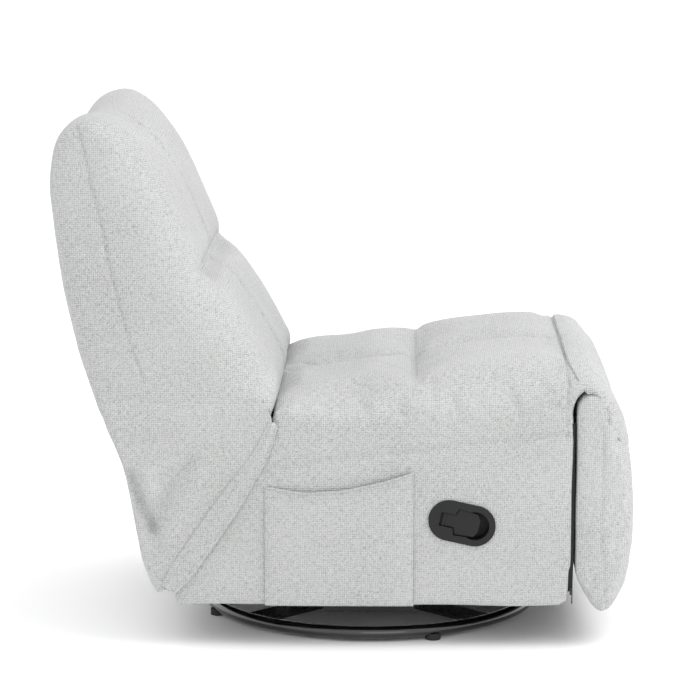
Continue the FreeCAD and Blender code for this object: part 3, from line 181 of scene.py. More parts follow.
def woven_cloth(name, dark, middle, pale):
    finish, tree, shader = new_finish(name, 0.92)
    uv = add(tree, "ShaderNodeUVMap", {"uv_map": "Weave"}).outputs[0]
    moved, over, ridge = weave_cells(tree, uv)
    flecks = yarn_flecks(tree, moved, over)
    fuzz = add(tree, "ShaderNodeTexNoise", {}, Vector=moved, Scale=1 / (1.5 * MM), Detail=4.0)
    broad = add(tree, "ShaderNodeTexNoise", {}, Vector=uv, Scale=1 / (180 * MM), Detail=2.0)
    tone = add(tree, "ShaderNodeMath", {"operation": "MULTIPLY_ADD"}, i0=ridge, i1=0.30, i2=-0.165)
    tone = add(tree, "ShaderNodeMath", {"operation": "MULTIPLY_ADD"}, i0=flecks, i1=1.0,
               i2=tone.outputs[0])
    tone = add(tree, "ShaderNodeMath", {"operation": "MULTIPLY_ADD"}, i0=broad.outputs["Fac"],
               i1=0.16, i2=tone.outputs[0])
    ramp = add(tree, "ShaderNodeValToRGB", {}, Fac=tone.outputs[0])
    ramp.color_ramp.elements[0].position = 0.30
    ramp.color_ramp.elements[0].color = linear(dark)
    ramp.color_ramp.elements[1].position = 0.72
    ramp.color_ramp.elements[1].color = linear(pale)
    ramp.color_ramp.elements.new(0.5).color = linear(middle)
    tree.links.new(ramp.outputs["Color"], shader.inputs["Base Color"])
    height = add(tree, "ShaderNodeMath", {"operation": "MULTIPLY_ADD"}, i0=flecks, i1=0.5,
                 i2=ridge)
    height = add(tree, "ShaderNodeMath", {"operation": "MULTIPLY_ADD"}, i0=fuzz.outputs["Fac"],
                 i1=0.35, i2=height.outputs[0])
    bump = add(tree, "ShaderNodeBump", {}, Strength=0.8, Distance=1.1 * MM,
               Height=height.outputs[0])
    tree.links.new(bump.outputs[0], shader.inputs["Normal"])
    shader.inputs["Sheen Weight"].default_value = 0.25
    shader.inputs["Sheen Roughness"].default_value = 0.6
    shader.inputs["Specular IOR Level"].default_value = 0.2
    return finish


chenille = woven_cloth("woven_chenille_light_grey", "#777877", "#A5A6A5", "#BDBEBE")
print("woven cloth ready, yarn pitch", YARN_PITCH)

# %% [markdown]
# ### Steel, plastic and timber
#
# The ring is bent tube with black gloss powder coat, which levels to a faint orange peel.  The
# mechanism is pressed sheet in satin black.  Pins and plates are zinc plated, with fine turning
# marks.  The release handle is injection moulded ABS with a spark-eroded grain.  Boards are birch
# plywood, but those of the seat box are given flat black, as painted shade for the dark under the body.

# %% Hard finishes


def grained(name, colour, second, roughness, metallic, grain_mm, depth_mm, stretch=(1, 1, 1),
            coat=0.0, rough_change=0.12, specular=0.5):
    """A finish with a fine grain: two close colours, a small bump and uneven roughness."""
    finish, tree, shader = new_finish(name, roughness, metallic)
    place = add(tree, "ShaderNodeTexCoord").outputs["Object"]
    place = add(tree, "ShaderNodeVectorMath", {"operation": "MULTIPLY"}, i0=place, i1=stretch)
    grain = add(tree, "ShaderNodeTexNoise", {}, Vector=place.outputs[0],
                Scale=1 / (grain_mm * MM), Detail=4.0, Roughness=0.6)
    colours = add(tree, "ShaderNodeValToRGB", {}, Fac=grain.outputs["Fac"])
    colours.color_ramp.elements[0].position = 0.35
    colours.color_ramp.elements[0].color = linear(colour)
    colours.color_ramp.elements[1].position = 0.65
    colours.color_ramp.elements[1].color = linear(second)
    tree.links.new(colours.outputs["Color"], shader.inputs["Base Color"])
    uneven = add(tree, "ShaderNodeMapRange", {}, Value=grain.outputs["Fac"],
                 To_Min=max(roughness - rough_change, 0.04), To_Max=roughness + rough_change)
    tree.links.new(uneven.outputs[0], shader.inputs["Roughness"])
    bump = add(tree, "ShaderNodeBump", {}, Strength=0.5, Distance=depth_mm * MM,
               Height=grain.outputs["Fac"])
    tree.links.new(bump.outputs[0], shader.inputs["Normal"])
    shader.inputs["Coat Weight"].default_value = coat
    shader.inputs["Specular IOR Level"].default_value = specular
    return finish


finishes = {
    "black_gloss": grained("gloss_powder_coat_black", "#0B0B0C", "#101012", 0.16, 0.0, 6, 0.05,
                           coat=0.6, rough_change=0.05),
    "black_steel": grained("satin_powder_coat_black", "#0C0C0D", "#121213", 0.42, 0.0, 1.5, 0.05),
    "zinc": grained("zinc_plated_steel", "#B9BCBE", "#A3A7AA", 0.34, 1.0, 1.2, 0.02, (1, 1, 12)),
    "nylon": grained("moulded_nylon_natural", "#DAD7CC", "#CFCBBE", 0.45, 0.0, 2, 0.03),
    "rubber_feet": grained("moulded_rubber_black", "#1B1B1B", "#242424", 0.75, 0.0, 1, 0.08),
    "plywood": grained("birch_plywood_sawn", "#C9A877", "#B08C5A", 0.68, 0.0, 5, 0.15,
                       (1, 0.12, 1)),
    "spring_wire": grained("spring_steel_wire", "#6D7072", "#5C5F61", 0.38, 1.0, 1, 0.02),
    "bezel_plastic": grained("abs_spark_grain_charcoal", "#121213", "#1A1A1B", 0.58, 0.0, 0.8,
                              0.10, specular=0.3),
    "paddle_plastic": grained("abs_spark_grain_black", "#0E0E0F", "#151516", 0.5, 0.0, 0.8, 0.08,
                               specular=0.3),
    "cable_sheath": grained("extruded_pvc_black", "#111112", "#19191A", 0.35, 0.0, 2, 0.02),
    "webbing": grained("woven_elastic_webbing", "#4A4B4E", "#2F3033", 0.85, 0.0, 2.2, 0.4,
                       (1, 4, 1)),
    "woven_fabric": chenille,
}
# Flat black used as painted shade: on the seat box's rails and boards for the shade under the body, and on the zip
# tape, a real black tape that also runs up the shaded gap beside the footrest.
zip_tape_and_shade_black = grained("zip_tape_and_painted_shade_black", "#0E0E0F", "#1A1A1B", 0.9, 0.0, 1.6, 0.15)
PAINTED_SHADE_PARTS = ("front_rail", "rear_rail", "skirt_rail", "corner_blocks", "side_board_left",
         "side_board_right")
slot_of = {part["node"]: part["material_slot"] for part in frame["record"]["subparts"]}
for node_name, item in frame["nodes"].items():
    finish = zip_tape_and_shade_black if node_name in PAINTED_SHADE_PARTS else finishes[slot_of[node_name]]
    item.data.materials.clear()
    item.data.materials.append(finish)
print(len(frame["nodes"]), "CAD parts have a finish")

# %% [markdown]
# ## Upholstery helpers
#
# Foam and cloth start as a plain block cut to a side outline.  The rims are rounded to the
# shoulder that the foam has, a voxel remesh gives even quads, and then Cloth blows the cover up
# against its seams, the way stuffing does.  Vertices on seams and hidden faces are pinned.
# Points are kept as an array with one row of X, Y and Z for each vertex.

# %% Outlines and blocks


def smooth_outline(points, steps=6, closed=True):
    """Catmull-Rom points through a short list, so that an outline needs only a few of them."""
    count = len(points)
    result = []
    for index in range(count if closed else count - 1):
        a, b, c, d = (Vector(points[(index + k) % count] if closed
                             else points[min(max(index + k, 0), count - 1)])
                      for k in (-1, 0, 1, 2))
        for step in range(steps):
            t = step / steps
            result.append(0.5 * (2 * b + (c - a) * t + (2 * a - 5 * b + 4 * c - d) * t ** 2
                                 + (3 * b - a - 3 * c + d) * t ** 3))
    if not closed:
        result.append(Vector(points[-1]))
    return [tuple(point) for point in result]


def outline_block(name, outline, x0, x1):
    """A closed block: a side outline of (y, z) points, extruded along X."""
    bm = bmesh.new()
    corners = [bm.verts.new((x0, y, z)) for y, z in outline]
    face = bm.faces.new(corners)
    extruded = bmesh.ops.extrude_face_region(bm, geom=[face])["geom"]
    moved = [item for item in extruded if isinstance(item, bmesh.types.BMVert)]
    bmesh.ops.translate(bm, verts=moved, vec=(x1 - x0, 0, 0))
    bmesh.ops.recalc_face_normals(bm, faces=bm.faces)
    mesh = bpy.data.meshes.new(name)
    bm.to_mesh(mesh)
    bm.free()
    piece = bpy.data.objects.new(name, mesh)
    scene.collection.objects.link(piece)
    return piece


def join(name, pieces):
    """Puts several closed blocks in one mesh; the remesh that follows makes them one skin."""
    bm = bmesh.new()
    for piece in pieces:
        bm.from_mesh(piece.data)
        bpy.data.objects.remove(piece)
    mesh = bpy.data.meshes.new(name)
    bm.to_mesh(mesh)
    bm.free()
    piece = bpy.data.objects.new(name, mesh)
    scene.collection.objects.link(piece)
    return piece


def apply_modifiers(piece):
    """Bakes the modifiers into the mesh at the current frame."""
    graph = bpy.context.evaluated_depsgraph_get()
    mesh = bpy.data.meshes.new_from_object(piece.evaluated_get(graph))
    piece.modifiers.clear()
    piece.data = mesh
    return piece


def remesh(piece, voxel):
    step = piece.modifiers.new("Even quads", "REMESH")
    step.mode = "VOXEL"
    step.voxel_size = voxel
    step.use_smooth_shade = True
    return apply_modifiers(piece)


def read_points(piece):
    points = np.empty(len(piece.data.vertices) * 3)
    piece.data.vertices.foreach_get("co", points)
    return points.reshape(-1, 3)


def write_points(piece, points):
    piece.data.vertices.foreach_set("co", points.ravel())
    piece.data.update()


def read_normals(piece):
    normals = np.empty(len(piece.data.vertices) * 3)
    piece.data.vertices.foreach_get("normal", normals)
    return normals.reshape(-1, 3)


def distance_to_line(points, line, closed=False):
    """How far 2D points are from a polyline, and the nearest place on it."""
    line = np.asarray(line, float)
    starts = line if closed else line[:-1]
    ends = np.roll(line, -1, axis=0) if closed else line[1:]
    best = np.full(len(points), 1e9)
    nearest = np.zeros((len(points), 2))
    for a, b in zip(starts, ends):
        span = b - a
        t = np.clip((points - a) @ span / max(span @ span, 1e-12), 0, 1)
        place = a + t[:, None] * span
        gap = np.linalg.norm(points - place, axis=1)
        closer = gap < best
        best[closer] = gap[closer]
        nearest[closer] = place[closer]
    return best, nearest


def round_shoulders(piece, outline, half_width, radius_at):
    """Pulls the side faces in near the outline, so that the rims become shoulders."""
    points = read_points(piece)
    depth, nearest = distance_to_line(points[:, 1:], outline, closed=True)
    radius = radius_at(nearest)
    inside = np.clip(radius - depth, 0, None)
    limit = half_width - radius + np.sqrt(np.clip(radius ** 2 - inside ** 2, 0, None))
    points[:, 0] = np.sign(points[:, 0]) * np.minimum(np.abs(points[:, 0]), limit)
    write_points(piece, points)


def smooth(piece, rounds, factor=0.5):
    bm = bmesh.new()
    bm.from_mesh(piece.data)
    for _ in range(rounds):
        bmesh.ops.smooth_vert(bm, verts=bm.verts, factor=factor, use_axis_x=True,
                              use_axis_y=True, use_axis_z=True)
    bm.to_mesh(piece.data)
    bm.free()


# %% [markdown]
# ### Blowing the cover up
#
# `held` says which vertices stay, from 0 to 1.  After twenty frames no point may have moved
# further than the cap, because pressure alone would turn a cushion into a balloon.

# %% Cloth
CLOTH_FRAMES = 20


def inflate(piece, held, cap, pressure=4.0, slack=0.02):
    """Cloth with pressure inside, applied to the mesh."""
    before = read_points(piece)
    weights = piece.vertex_groups.new(name="held")
    for index, weight in enumerate(held):
        if weight > 0.01:
            weights.add([index], float(weight), "REPLACE")
    step = piece.modifiers.new("Cover", "CLOTH")
    cloth = step.settings
    cloth.quality = 6
    cloth.mass = 0.3
    cloth.tension_stiffness = 18
    cloth.compression_stiffness = 12
    cloth.shear_stiffness = 6
    cloth.bending_stiffness = 0.35
    cloth.use_pressure = True
    cloth.uniform_pressure_force = pressure
    cloth.shrink_min = -slack
    cloth.vertex_group_mass = "held"
    cloth.effector_weights.gravity = 0
    step.collision_settings.use_collision = False
    step.point_cache.frame_start = 1
    step.point_cache.frame_end = CLOTH_FRAMES
    for frame_number in range(1, CLOTH_FRAMES + 1):
        scene.frame_set(frame_number)
    apply_modifiers(piece)
    scene.frame_set(1)
    after = read_points(piece)
    move = after - before
    far = np.linalg.norm(move, axis=1)
    share = np.minimum(1, cap / np.maximum(far, 1e-9))
    write_points(piece, before + move * share[:, None])
    print(f"{piece.name}: moved {far.mean() / MM:.1f} mm on average, {far.max() / MM:.0f} at most")
    return piece


def groove(piece, line, plane, width, depth, keep):
    """Draws a seam into the surface: points near the line sink along their normals."""
    points = read_points(piece)
    normals = read_normals(piece)
    gap, _ = distance_to_line(points[:, plane], line)
    fall = depth * np.exp(-(gap / width) ** 2) * keep(points, normals)
    write_points(piece, points - normals * fall[:, None])
    return gap


def unsettle(piece, height, size):
    """Foam and cloth are never quite even: shallow dents and swells along the normals."""
    points = read_points(piece)
    normals = read_normals(piece)
    rise = np.array([noise.noise(Vector(point) / size) for point in points])
    write_points(piece, points + normals * (height * rise)[:, None])


def lay_weave(piece):
    """A UV map in metres, laid on from whichever side each face looks at most."""
    mesh = piece.data
    while mesh.uv_layers:
        mesh.uv_layers.remove(mesh.uv_layers[0])
    layer = mesh.uv_layers.new(name="Weave")
    count = len(mesh.loops)
    corner = np.empty(count, int)
    mesh.loops.foreach_get("vertex_index", corner)
    normals = np.empty(len(mesh.polygons) * 3)
    mesh.polygons.foreach_get("normal", normals)
    normals = np.abs(normals.reshape(-1, 3)) * (1.0, 0.9, 1.1)
    sizes = np.empty(len(mesh.polygons), int)
    mesh.polygons.foreach_get("loop_total", sizes)
    axis = np.repeat(normals.argmax(axis=1), sizes)
    points = read_points(piece)[corner]
    uv = np.where((axis == 0)[:, None], points[:, 1:],
                  np.where((axis == 1)[:, None], points[:, (0, 2)], points[:, :2]))
    layer.data.foreach_set("uv", uv.ravel())


def finish_cloth(piece, subdivisions=1):
    """Last steps for a cloth piece: one subdivision, smooth shading, weave and finish."""
    if subdivisions:
        step = piece.modifiers.new("Fine cloth", "SUBSURF")
        step.levels = subdivisions
        step.render_levels = subdivisions
        apply_modifiers(piece)
    piece.data.polygons.foreach_set("use_smooth", [True] * len(piece.data.polygons))
    lay_weave(piece)
    piece.data.materials.clear()
    piece.data.materials.append(chenille)
    return piece

# %% [markdown]
# ## Seat cover
#
# One cover goes over the seat foam, the front roll and both sides of the box.  The foam is a
# pillow on the springs; the sides are thin pads over boards.  We model the pillow and the two side
# pads as closed blocks and let the voxel remesh weld them into one skin.  A seam crosses the
# pillow, another runs down its middle, and a third joins the front roll.

# %% Seat blocks
CLOTH_SWELL = 4 * MM
VOXEL = 7 * MM
SHOULDER = 92 * MM
legrest_y, legrest_z = joints["legrest"]["pos_m"][1:]
ROLL_GAP = 4.5 * MM
FOOT_ROUND = 36 * MM
CROSS_SEAM = FRONT_SEAM + 0.53 * (SEAT_REAR - FRONT_SEAM)
SEAT_FALL = 44 * MM


def roll_arc(start, stop, count, radius):
    """Points on an arc about the legrest hinge, in degrees from the rear."""
    angles = [math.radians(start + (stop - start) * k / (count - 1)) for k in range(count)]
    return [(legrest_y + radius * math.cos(a), legrest_z + radius * math.sin(a)) for a in angles]


pillow_top = smooth_outline([
    (roll_low.y - 2 * MM, SEAT_TOP - 26 * MM), (roll_low.y + 14 * MM, SEAT_TOP - 9 * MM),
    (FRONT_SEAM - 8 * MM, SEAT_TOP - 1 * MM), (FRONT_SEAM + 0.1, SEAT_TOP - 6 * MM),
    (CROSS_SEAM, SEAT_TOP - 28 * MM), (SEAT_REAR - 0.1, SEAT_TOP - 55 * MM),
    (SEAT_REAR + 14 * MM, SEAT_TOP - SEAT_FALL - 21 * MM)], steps=5, closed=False)
pillow_outline = roll_arc(5, 96, 9, FOOT_ROUND + ROLL_GAP) + pillow_top + [
    (SEAT_REAR + 14 * MM, DECK), (BODY_FRONT, DECK + 6 * MM)]
pillow = outline_block("pillow", pillow_outline, -(HALF_WIDTH - CLOTH_SWELL),
                       HALF_WIDTH - CLOTH_SWELL)
remesh(pillow, VOXEL)


def seat_shoulder(nearest):
    """Wide along the top, tight along the deck and in the hollow under the roll."""
    radius = np.interp(nearest[:, 1], (DECK + 10 * MM, SEAT_TOP - 50 * MM), (2 * MM, SHOULDER))
    from_hinge = np.hypot(nearest[:, 0] - legrest_y, nearest[:, 1] - legrest_z)
    return np.where(from_hinge < FOOT_ROUND + ROLL_GAP + 1 * MM, 3 * MM, radius)


round_shoulders(pillow, pillow_outline, HALF_WIDTH - CLOTH_SWELL, seat_shoulder)

side_outline = [
    (BODY_FRONT, BODY_BOTTOM + 18 * MM), (BODY_FRONT + 5 * MM, BODY_BOTTOM + 5 * MM),
    (BODY_FRONT + 18 * MM, BODY_BOTTOM),
    (pad_high.y - 12 * MM, BODY_BOTTOM), (pad_high.y - 1 * MM, BODY_BOTTOM + 45 * MM),
    (SEAT_REAR + 18 * MM, DECK + 2 * MM), (SEAT_REAR + 12 * MM, DECK + 30 * MM),
    (FRONT_SEAM, DECK + 30 * MM), (BODY_FRONT - 4 * MM, DECK + 24 * MM),
    (BODY_FRONT - 4 * MM, BODY_BOTTOM + 90 * MM)]
side_pads = [outline_block("side_pad", side_outline, x0, x1) for x0, x1 in (
    (PAD_INNER - 4 * MM, SIDE_FACE), (-SIDE_FACE, 4 * MM - PAD_INNER))]
seat_cover = join("seat_cover", [pillow] + side_pads)
remesh(seat_cover, VOXEL)
smooth(seat_cover, 3)
print("seat cover", len(seat_cover.data.vertices), "points")

# %% Seat seams and cloth


def upward(points, normals):
    return np.clip(normals[:, 2] * 1.6, 0, 1) * (points[:, 2] > DECK + 30 * MM)


def fade_at_shoulder(points, start, stop):
    return 1 - np.clip((np.abs(points[:, 0]) - start) / (stop - start), 0, 1)


def tuft(points, normals):
    return upward(points, normals) * fade_at_shoulder(points, 0.20, 0.29)


seat_seams = [
    (np.array([(-0.4, CROSS_SEAM), (0.4, CROSS_SEAM)]), 14 * MM, 13 * MM, tuft),
    (np.array([(0, FRONT_SEAM), (0, SEAT_REAR)]), 12 * MM, 9 * MM, upward)]
seam_gaps = [groove(seat_cover, line, (0, 1), width, depth, keep)
             for line, width, depth, keep in seat_seams]
points = read_points(seat_cover)
normals = read_normals(seat_cover)
held = np.clip((DECK + 10 * MM - points[:, 2]) / (70 * MM) + 0.35, 0, 1)
held[points[:, 2] > DECK + 40 * MM] = 0
hinge_gap = np.hypot(points[:, 1] - legrest_y, points[:, 2] - legrest_z)
held[hinge_gap < FOOT_ROUND + ROLL_GAP + 6 * MM] = 1
held[(normals[:, 2] < -0.5) | (points[:, 1] > SEAT_REAR + 8 * MM)] = 1
on_top = normals[:, 2] > 0.3
for gap in seam_gaps:
    held[(gap < 5 * MM) & on_top & (np.abs(points[:, 0]) < 0.27)] = 1
front_gap = np.abs(points[:, 1] - FRONT_SEAM)
held[(front_gap < 4 * MM) & (points[:, 2] > DECK + 30 * MM)] = 1
inflate(seat_cover, held, cap=17 * MM)

# %% [markdown]
# The remesh loses anything narrower than a voxel, so the stitched lines come last: the front seam,
# which runs over the top and down each side, the two seams of the pillow, and the crease under it.

# %% Seat stitching lines
STITCH_WIDTH = 3.2 * MM
PILLOW_STITCH_DEPTH = 4.5 * MM


def skin(points, normals):
    return np.ones(len(points))


def outer_side(points, normals):
    return (np.abs(points[:, 0]) > SIDE_FACE - 8 * MM).astype(float)


unsettle(seat_cover, 2.2 * MM, 0.09)
finish_cloth(seat_cover)
front_line = np.array([(FRONT_SEAM, 0.0), (FRONT_SEAM, 1.0)])
groove(seat_cover, front_line, (1, 2), 3.0 * MM, 3.6 * MM,
       lambda p, n: (p[:, 2] > DECK - 20 * MM) * (n[:, 2] > -0.3))
for line, _, _, keep in seat_seams:
    groove(seat_cover, line, (0, 1), STITCH_WIDTH, PILLOW_STITCH_DEPTH, keep)
crease_line = np.array([(FRONT_SEAM, DECK - 10 * MM), (-0.284, DECK - 21 * MM),
                        (-0.148, DECK - 40 * MM), (0.012, DECK - 58 * MM),
                        (0.134, DECK - 81 * MM)])
groove(seat_cover, crease_line, (1, 2), 6 * MM, 3.2 * MM, outer_side)
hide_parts("seat_cushion", "front_bolster", "side_padding_left",
            "side_padding_right")
print("seat cover finished,", len(seat_cover.data.polygons), "faces")

# %% [markdown]
# The release handle's housing sinks into the right side of the box, so the cover is cut there.  A
# slot-shaped plug, tilted like the handle, is subtracted with a boolean.

# %% Opening for the handle
handle_centre = (bezel_low + bezel_high) / 2
HANDLE_TILT = math.radians(12.5)
HANDLE_SLOT = (99 * MM, 52 * MM)


def slot_block(name, length, height, x0, x1):
    """A slot with round ends, extruded along X and tilted about the handle's centre."""
    reach = (length - height) / 2
    outline = []
    for sign in (1, -1):
        for step in range(17):
            a = math.pi * step / 16 - math.pi / 2 + (0 if sign > 0 else math.pi)
            y = sign * reach + math.cos(a) * height / 2
            z = math.sin(a) * height / 2
            outline.append((handle_centre.y + y * math.cos(HANDLE_TILT)
                            - z * math.sin(HANDLE_TILT),
                            handle_centre.z + y * math.sin(HANDLE_TILT)
                            + z * math.cos(HANDLE_TILT)))
    return outline_block(name, outline, x0, x1)


plug = slot_block("handle_plug", *HANDLE_SLOT, bezel_low.x - 0.02, bezel_high.x + 0.01)
cutter = seat_cover.modifiers.new("Handle opening", "BOOLEAN")
cutter.operation = "DIFFERENCE"
cutter.solver = "EXACT"
cutter.object = plug
apply_modifiers(seat_cover)
bpy.data.objects.remove(plug)
lay_weave(seat_cover)
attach(seat_cover, "seat")

# %% [markdown]
# ## Back cover
#
# The backrest is a deep block of foam over a frame.  Its front is two rows of pillows, with a
# seam across and one down the middle, and the top corners stand a little higher than the middle.
# On each side a seam follows the rear edge, where the back panel wraps round.

# %% Back block


def in_back(depth_share, height_share):
    """A place in the backrest's box, as shares of its depth and height."""
    return (back_low.y + depth_share * (back_high.y - back_low.y),
            back_low.z + height_share * (back_high.z - back_low.z))


BACK_SHARES = [
    (0.010, 0.215), (0.000, 0.275), (0.095, 0.385), (0.215, 0.500), (0.315, 0.572),
    (0.365, 0.640), (0.455, 0.775), (0.560, 0.885), (0.670, 0.957), (0.795, 0.995),
    (0.905, 0.978), (0.975, 0.925), (1.000, 0.840), (0.996, 0.750), (0.970, 0.620),
    (0.935, 0.490), (0.890, 0.360), (0.835, 0.262), (0.765, 0.160), (0.690, 0.075),
    (0.560, 0.055), (0.350, 0.085), (0.160, 0.125), (0.060, 0.165)]
back_outline = smooth_outline([in_back(*share) for share in BACK_SHARES], steps=3)
TUFT_Z = in_back(0.315, 0.572)[1]
back_cover = outline_block("back_cover", back_outline, -(HALF_WIDTH - CLOTH_SWELL),
                           HALF_WIDTH - CLOTH_SWELL)
remesh(back_cover, VOXEL)


def facing_front(points):
    """From 0 on the rear half of the backrest to 1 on its front face."""
    lean = (points[:, 2] - back_low.z) / (back_high.z - back_low.z)
    middle = back_low.y + (back_high.y - back_low.y) * (0.42 + 0.33 * lean)
    return np.clip((middle - points[:, 1]) / (60 * MM) + 0.5, 0, 1)


def back_shoulder(nearest):
    rows = np.column_stack([np.zeros(len(nearest)), nearest])
    front = facing_front(rows)
    low = np.clip((nearest[:, 1] - back_low.z - 0.12) / 0.08, 0.06, 1)
    high = 1 - 0.35 * np.clip((nearest[:, 1] - (back_high.z - 60 * MM)) / (30 * MM), 0, 1)
    return (30 * MM + front * 66 * MM) * low * high


round_shoulders(back_cover, back_outline, HALF_WIDTH - CLOTH_SWELL, back_shoulder)
remesh(back_cover, VOXEL)
smooth(back_cover, 3)

# %% [markdown]
# The foot of the backrest is narrower, to fit between its brackets.  Its top dips in the middle
# and stands up towards the corners.

# %% Back foot and top
NARROW_Z, NARROW_HALF = (0.385, 0.432), 0.290
TOP_DIP, CORNER_RISE, TOP_REACH = 14 * MM, 5 * MM, 0.22
points = read_points(back_cover)
narrow = np.interp(points[:, 2], NARROW_Z, (NARROW_HALF, HALF_WIDTH))
points[:, 0] = np.sign(points[:, 0]) * np.minimum(np.abs(points[:, 0]), narrow)
near_top = np.clip((points[:, 2] - (back_high.z - TOP_REACH)) / TOP_REACH, 0, 1)
points[:, 2] -= TOP_DIP * near_top * np.exp(-(points[:, 0] / 0.15) ** 2)
points[:, 2] += CORNER_RISE * near_top * np.exp(-((np.abs(points[:, 0]) - 0.235) / 0.07) ** 2)
write_points(back_cover, points)

# %% Back seams and cloth


def front_face(points, normals):
    return np.clip(-normals[:, 1] * 1.8, 0, 1) * facing_front(points)


def back_tuft(points, normals):
    return front_face(points, normals) * fade_at_shoulder(points, 0.22, 0.31)


across = np.array([(-0.4, TUFT_Z), (0.4, TUFT_Z)])
down = np.array([(0.0, back_low.z + 0.14), (0.0, back_high.z)])
across_gap = groove(back_cover, across, (0, 2), 16 * MM, 17 * MM, back_tuft)
down_gap = groove(back_cover, down, (0, 2), 13 * MM, 11 * MM, front_face)
points = read_points(back_cover)
normals = read_normals(back_cover)
front = front_face(points, normals) > 0.2
held = np.full(len(points), 0.0)
held[facing_front(points) < 0.5] = 0.55
held[points[:, 2] < back_low.z + 0.12] = 1
held[(across_gap < 5 * MM) & front & (np.abs(points[:, 0]) < 0.275)] = 1
held[(down_gap < 5 * MM) & front] = 1
inflate(back_cover, held, cap=26 * MM)

# %% Back side seams
side_seam = np.array([in_back(*share) for share in (
    (0.870, 0.974), (0.838, 0.900), (0.815, 0.820), (0.775, 0.728), (0.740, 0.610),
    (0.700, 0.500), (0.645, 0.380), (0.590, 0.290))])
unsettle(back_cover, 3.0 * MM, 0.10)
finish_cloth(back_cover)


def back_side(points, normals):
    return np.clip(np.abs(normals[:, 0]) * 1.5 - 0.3, 0, 1) * (np.abs(points[:, 0]) > 0.28)


groove(back_cover, side_seam, (1, 2), STITCH_WIDTH, 3.6 * MM, back_side)
groove(back_cover, across, (0, 2), STITCH_WIDTH, PILLOW_STITCH_DEPTH, back_tuft)
groove(back_cover, down, (0, 2), STITCH_WIDTH, PILLOW_STITCH_DEPTH, front_face)
packing_creases = [
    [in_back(*share) for share in pair] for pair in (
        ((0.930, 0.860), (0.640, 0.905)), ((0.870, 0.640), (0.520, 0.715)),
        ((0.800, 0.330), (0.420, 0.420)), ((0.760, 0.250), (0.500, 0.300)))]
for crease in packing_creases:
    groove(back_cover, np.array(crease), (1, 2), 6 * MM, 1.3 * MM, back_side)
lay_weave(back_cover)
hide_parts("back_cushion")
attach(back_cover, "backrest")
print("back cover", len(back_cover.data.polygons), "faces")

# %% [markdown]
# ## Footrest cover
#
# A flat pad over a board, rounded over the hinge line at the top and tapering at the foot.  The
# front panel meets the rear panel in a seam down each side.

# %% Footrest
FOOT_SWELL = 3 * MM
FOOT_VOXEL = VOXEL * 0.86
foot_front, foot_rear = foot_low.y, foot_high.y
foot_bottom = foot_low.z
foot_outline = roll_arc(0, 150, 12, FOOT_ROUND - 1 * MM) + smooth_outline([
    (foot_front + 27 * MM, legrest_z - 4 * MM), (foot_front + 15 * MM, legrest_z - 50 * MM),
    (foot_front + 6 * MM, legrest_z - 110 * MM), (foot_front + 1 * MM, legrest_z - 190 * MM),
    (foot_front + 3 * MM, foot_bottom + 100 * MM), (foot_front + 13 * MM, foot_bottom + 50 * MM),
    (foot_front + 29 * MM, foot_bottom + 10 * MM), (foot_front + 48 * MM, foot_bottom + 2 * MM),
    (foot_front + 66 * MM, foot_bottom + 14 * MM), (foot_front + 84 * MM, foot_bottom + 42 * MM),
    (foot_rear, foot_bottom + 78 * MM)], steps=4, closed=False) + [
    (foot_rear, legrest_z - 60 * MM)]
footrest_cover = outline_block("footrest_cover", foot_outline, -(HALF_WIDTH - FOOT_SWELL),
                               HALF_WIDTH - FOOT_SWELL)
remesh(footrest_cover, FOOT_VOXEL)


def foot_shoulder(nearest):
    """Wide at the front edge, tight at the rear edge that closes against the body."""
    return np.interp(nearest[:, 0], (foot_front, foot_rear), (46 * MM, 4 * MM))


round_shoulders(footrest_cover, foot_outline, HALF_WIDTH - FOOT_SWELL, foot_shoulder)
remesh(footrest_cover, FOOT_VOXEL)
smooth(footrest_cover, 3)
points = read_points(footrest_cover)
normals = read_normals(footrest_cover)
held = np.zeros(len(points))
held[normals[:, 1] > 0.4] = 1
held[points[:, 2] > legrest_z - 10 * MM] = 1
foot_seam_y = foot_front + 53 * MM
seam_band = np.abs(points[:, 1] - foot_seam_y) < 4 * MM
held[seam_band & (np.abs(normals[:, 0]) > 0.6)] = 0.9
inflate(footrest_cover, held, cap=7 * MM, pressure=3.0)
unsettle(footrest_cover, 1.6 * MM, 0.08)
finish_cloth(footrest_cover)
foot_seam = np.array([(foot_seam_y, legrest_z - 30 * MM), (foot_seam_y + 2 * MM, 0.22),
                      (foot_seam_y - 6 * MM, foot_bottom + 40 * MM),
                      (foot_seam_y - 12 * MM, foot_bottom)])
groove(footrest_cover, foot_seam, (1, 2), 3.0 * MM, 2.6 * MM,
       lambda p, n: (np.abs(n[:, 0]) > 0.35).astype(float))
lay_weave(footrest_cover)
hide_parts("footrest_cushion")
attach(footrest_cover, "footrest")
print("footrest cover", len(footrest_cover.data.polygons), "faces")

# %% [markdown]
# ### The front cloth between roll and footrest
#
# On the real chair one panel of cloth comes off the front roll and goes on down the footrest, so
# it bends as the footrest swings up.  A grid is laid over both.
# Rays cast back at the legrest hinge find the cushions, and the taut path over them is the cloth.

# %% Front cloth


def cloth_grid(name, across, up, place):
    """A grid whose vertices are put in place by their two shares, from 0 to 1."""
    bm = bmesh.new()
    bmesh.ops.create_grid(bm, x_segments=across, y_segments=up, size=0.5)
    for vertex in bm.verts:
        vertex.co = place(vertex.co.x + 0.5, vertex.co.y + 0.5)
    bmesh.ops.recalc_face_normals(bm, faces=bm.faces)
    mesh = bpy.data.meshes.new(name)
    bm.to_mesh(mesh)
    bm.free()
    piece = bpy.data.objects.new(name, mesh)
    scene.collection.objects.link(piece)
    return piece


def thicken(piece, thickness, offset):
    step = piece.modifiers.new("Cloth thickness", "SOLIDIFY")
    step.thickness = thickness
    step.offset = offset
    step.use_even_offset = True
    return apply_modifiers(piece)


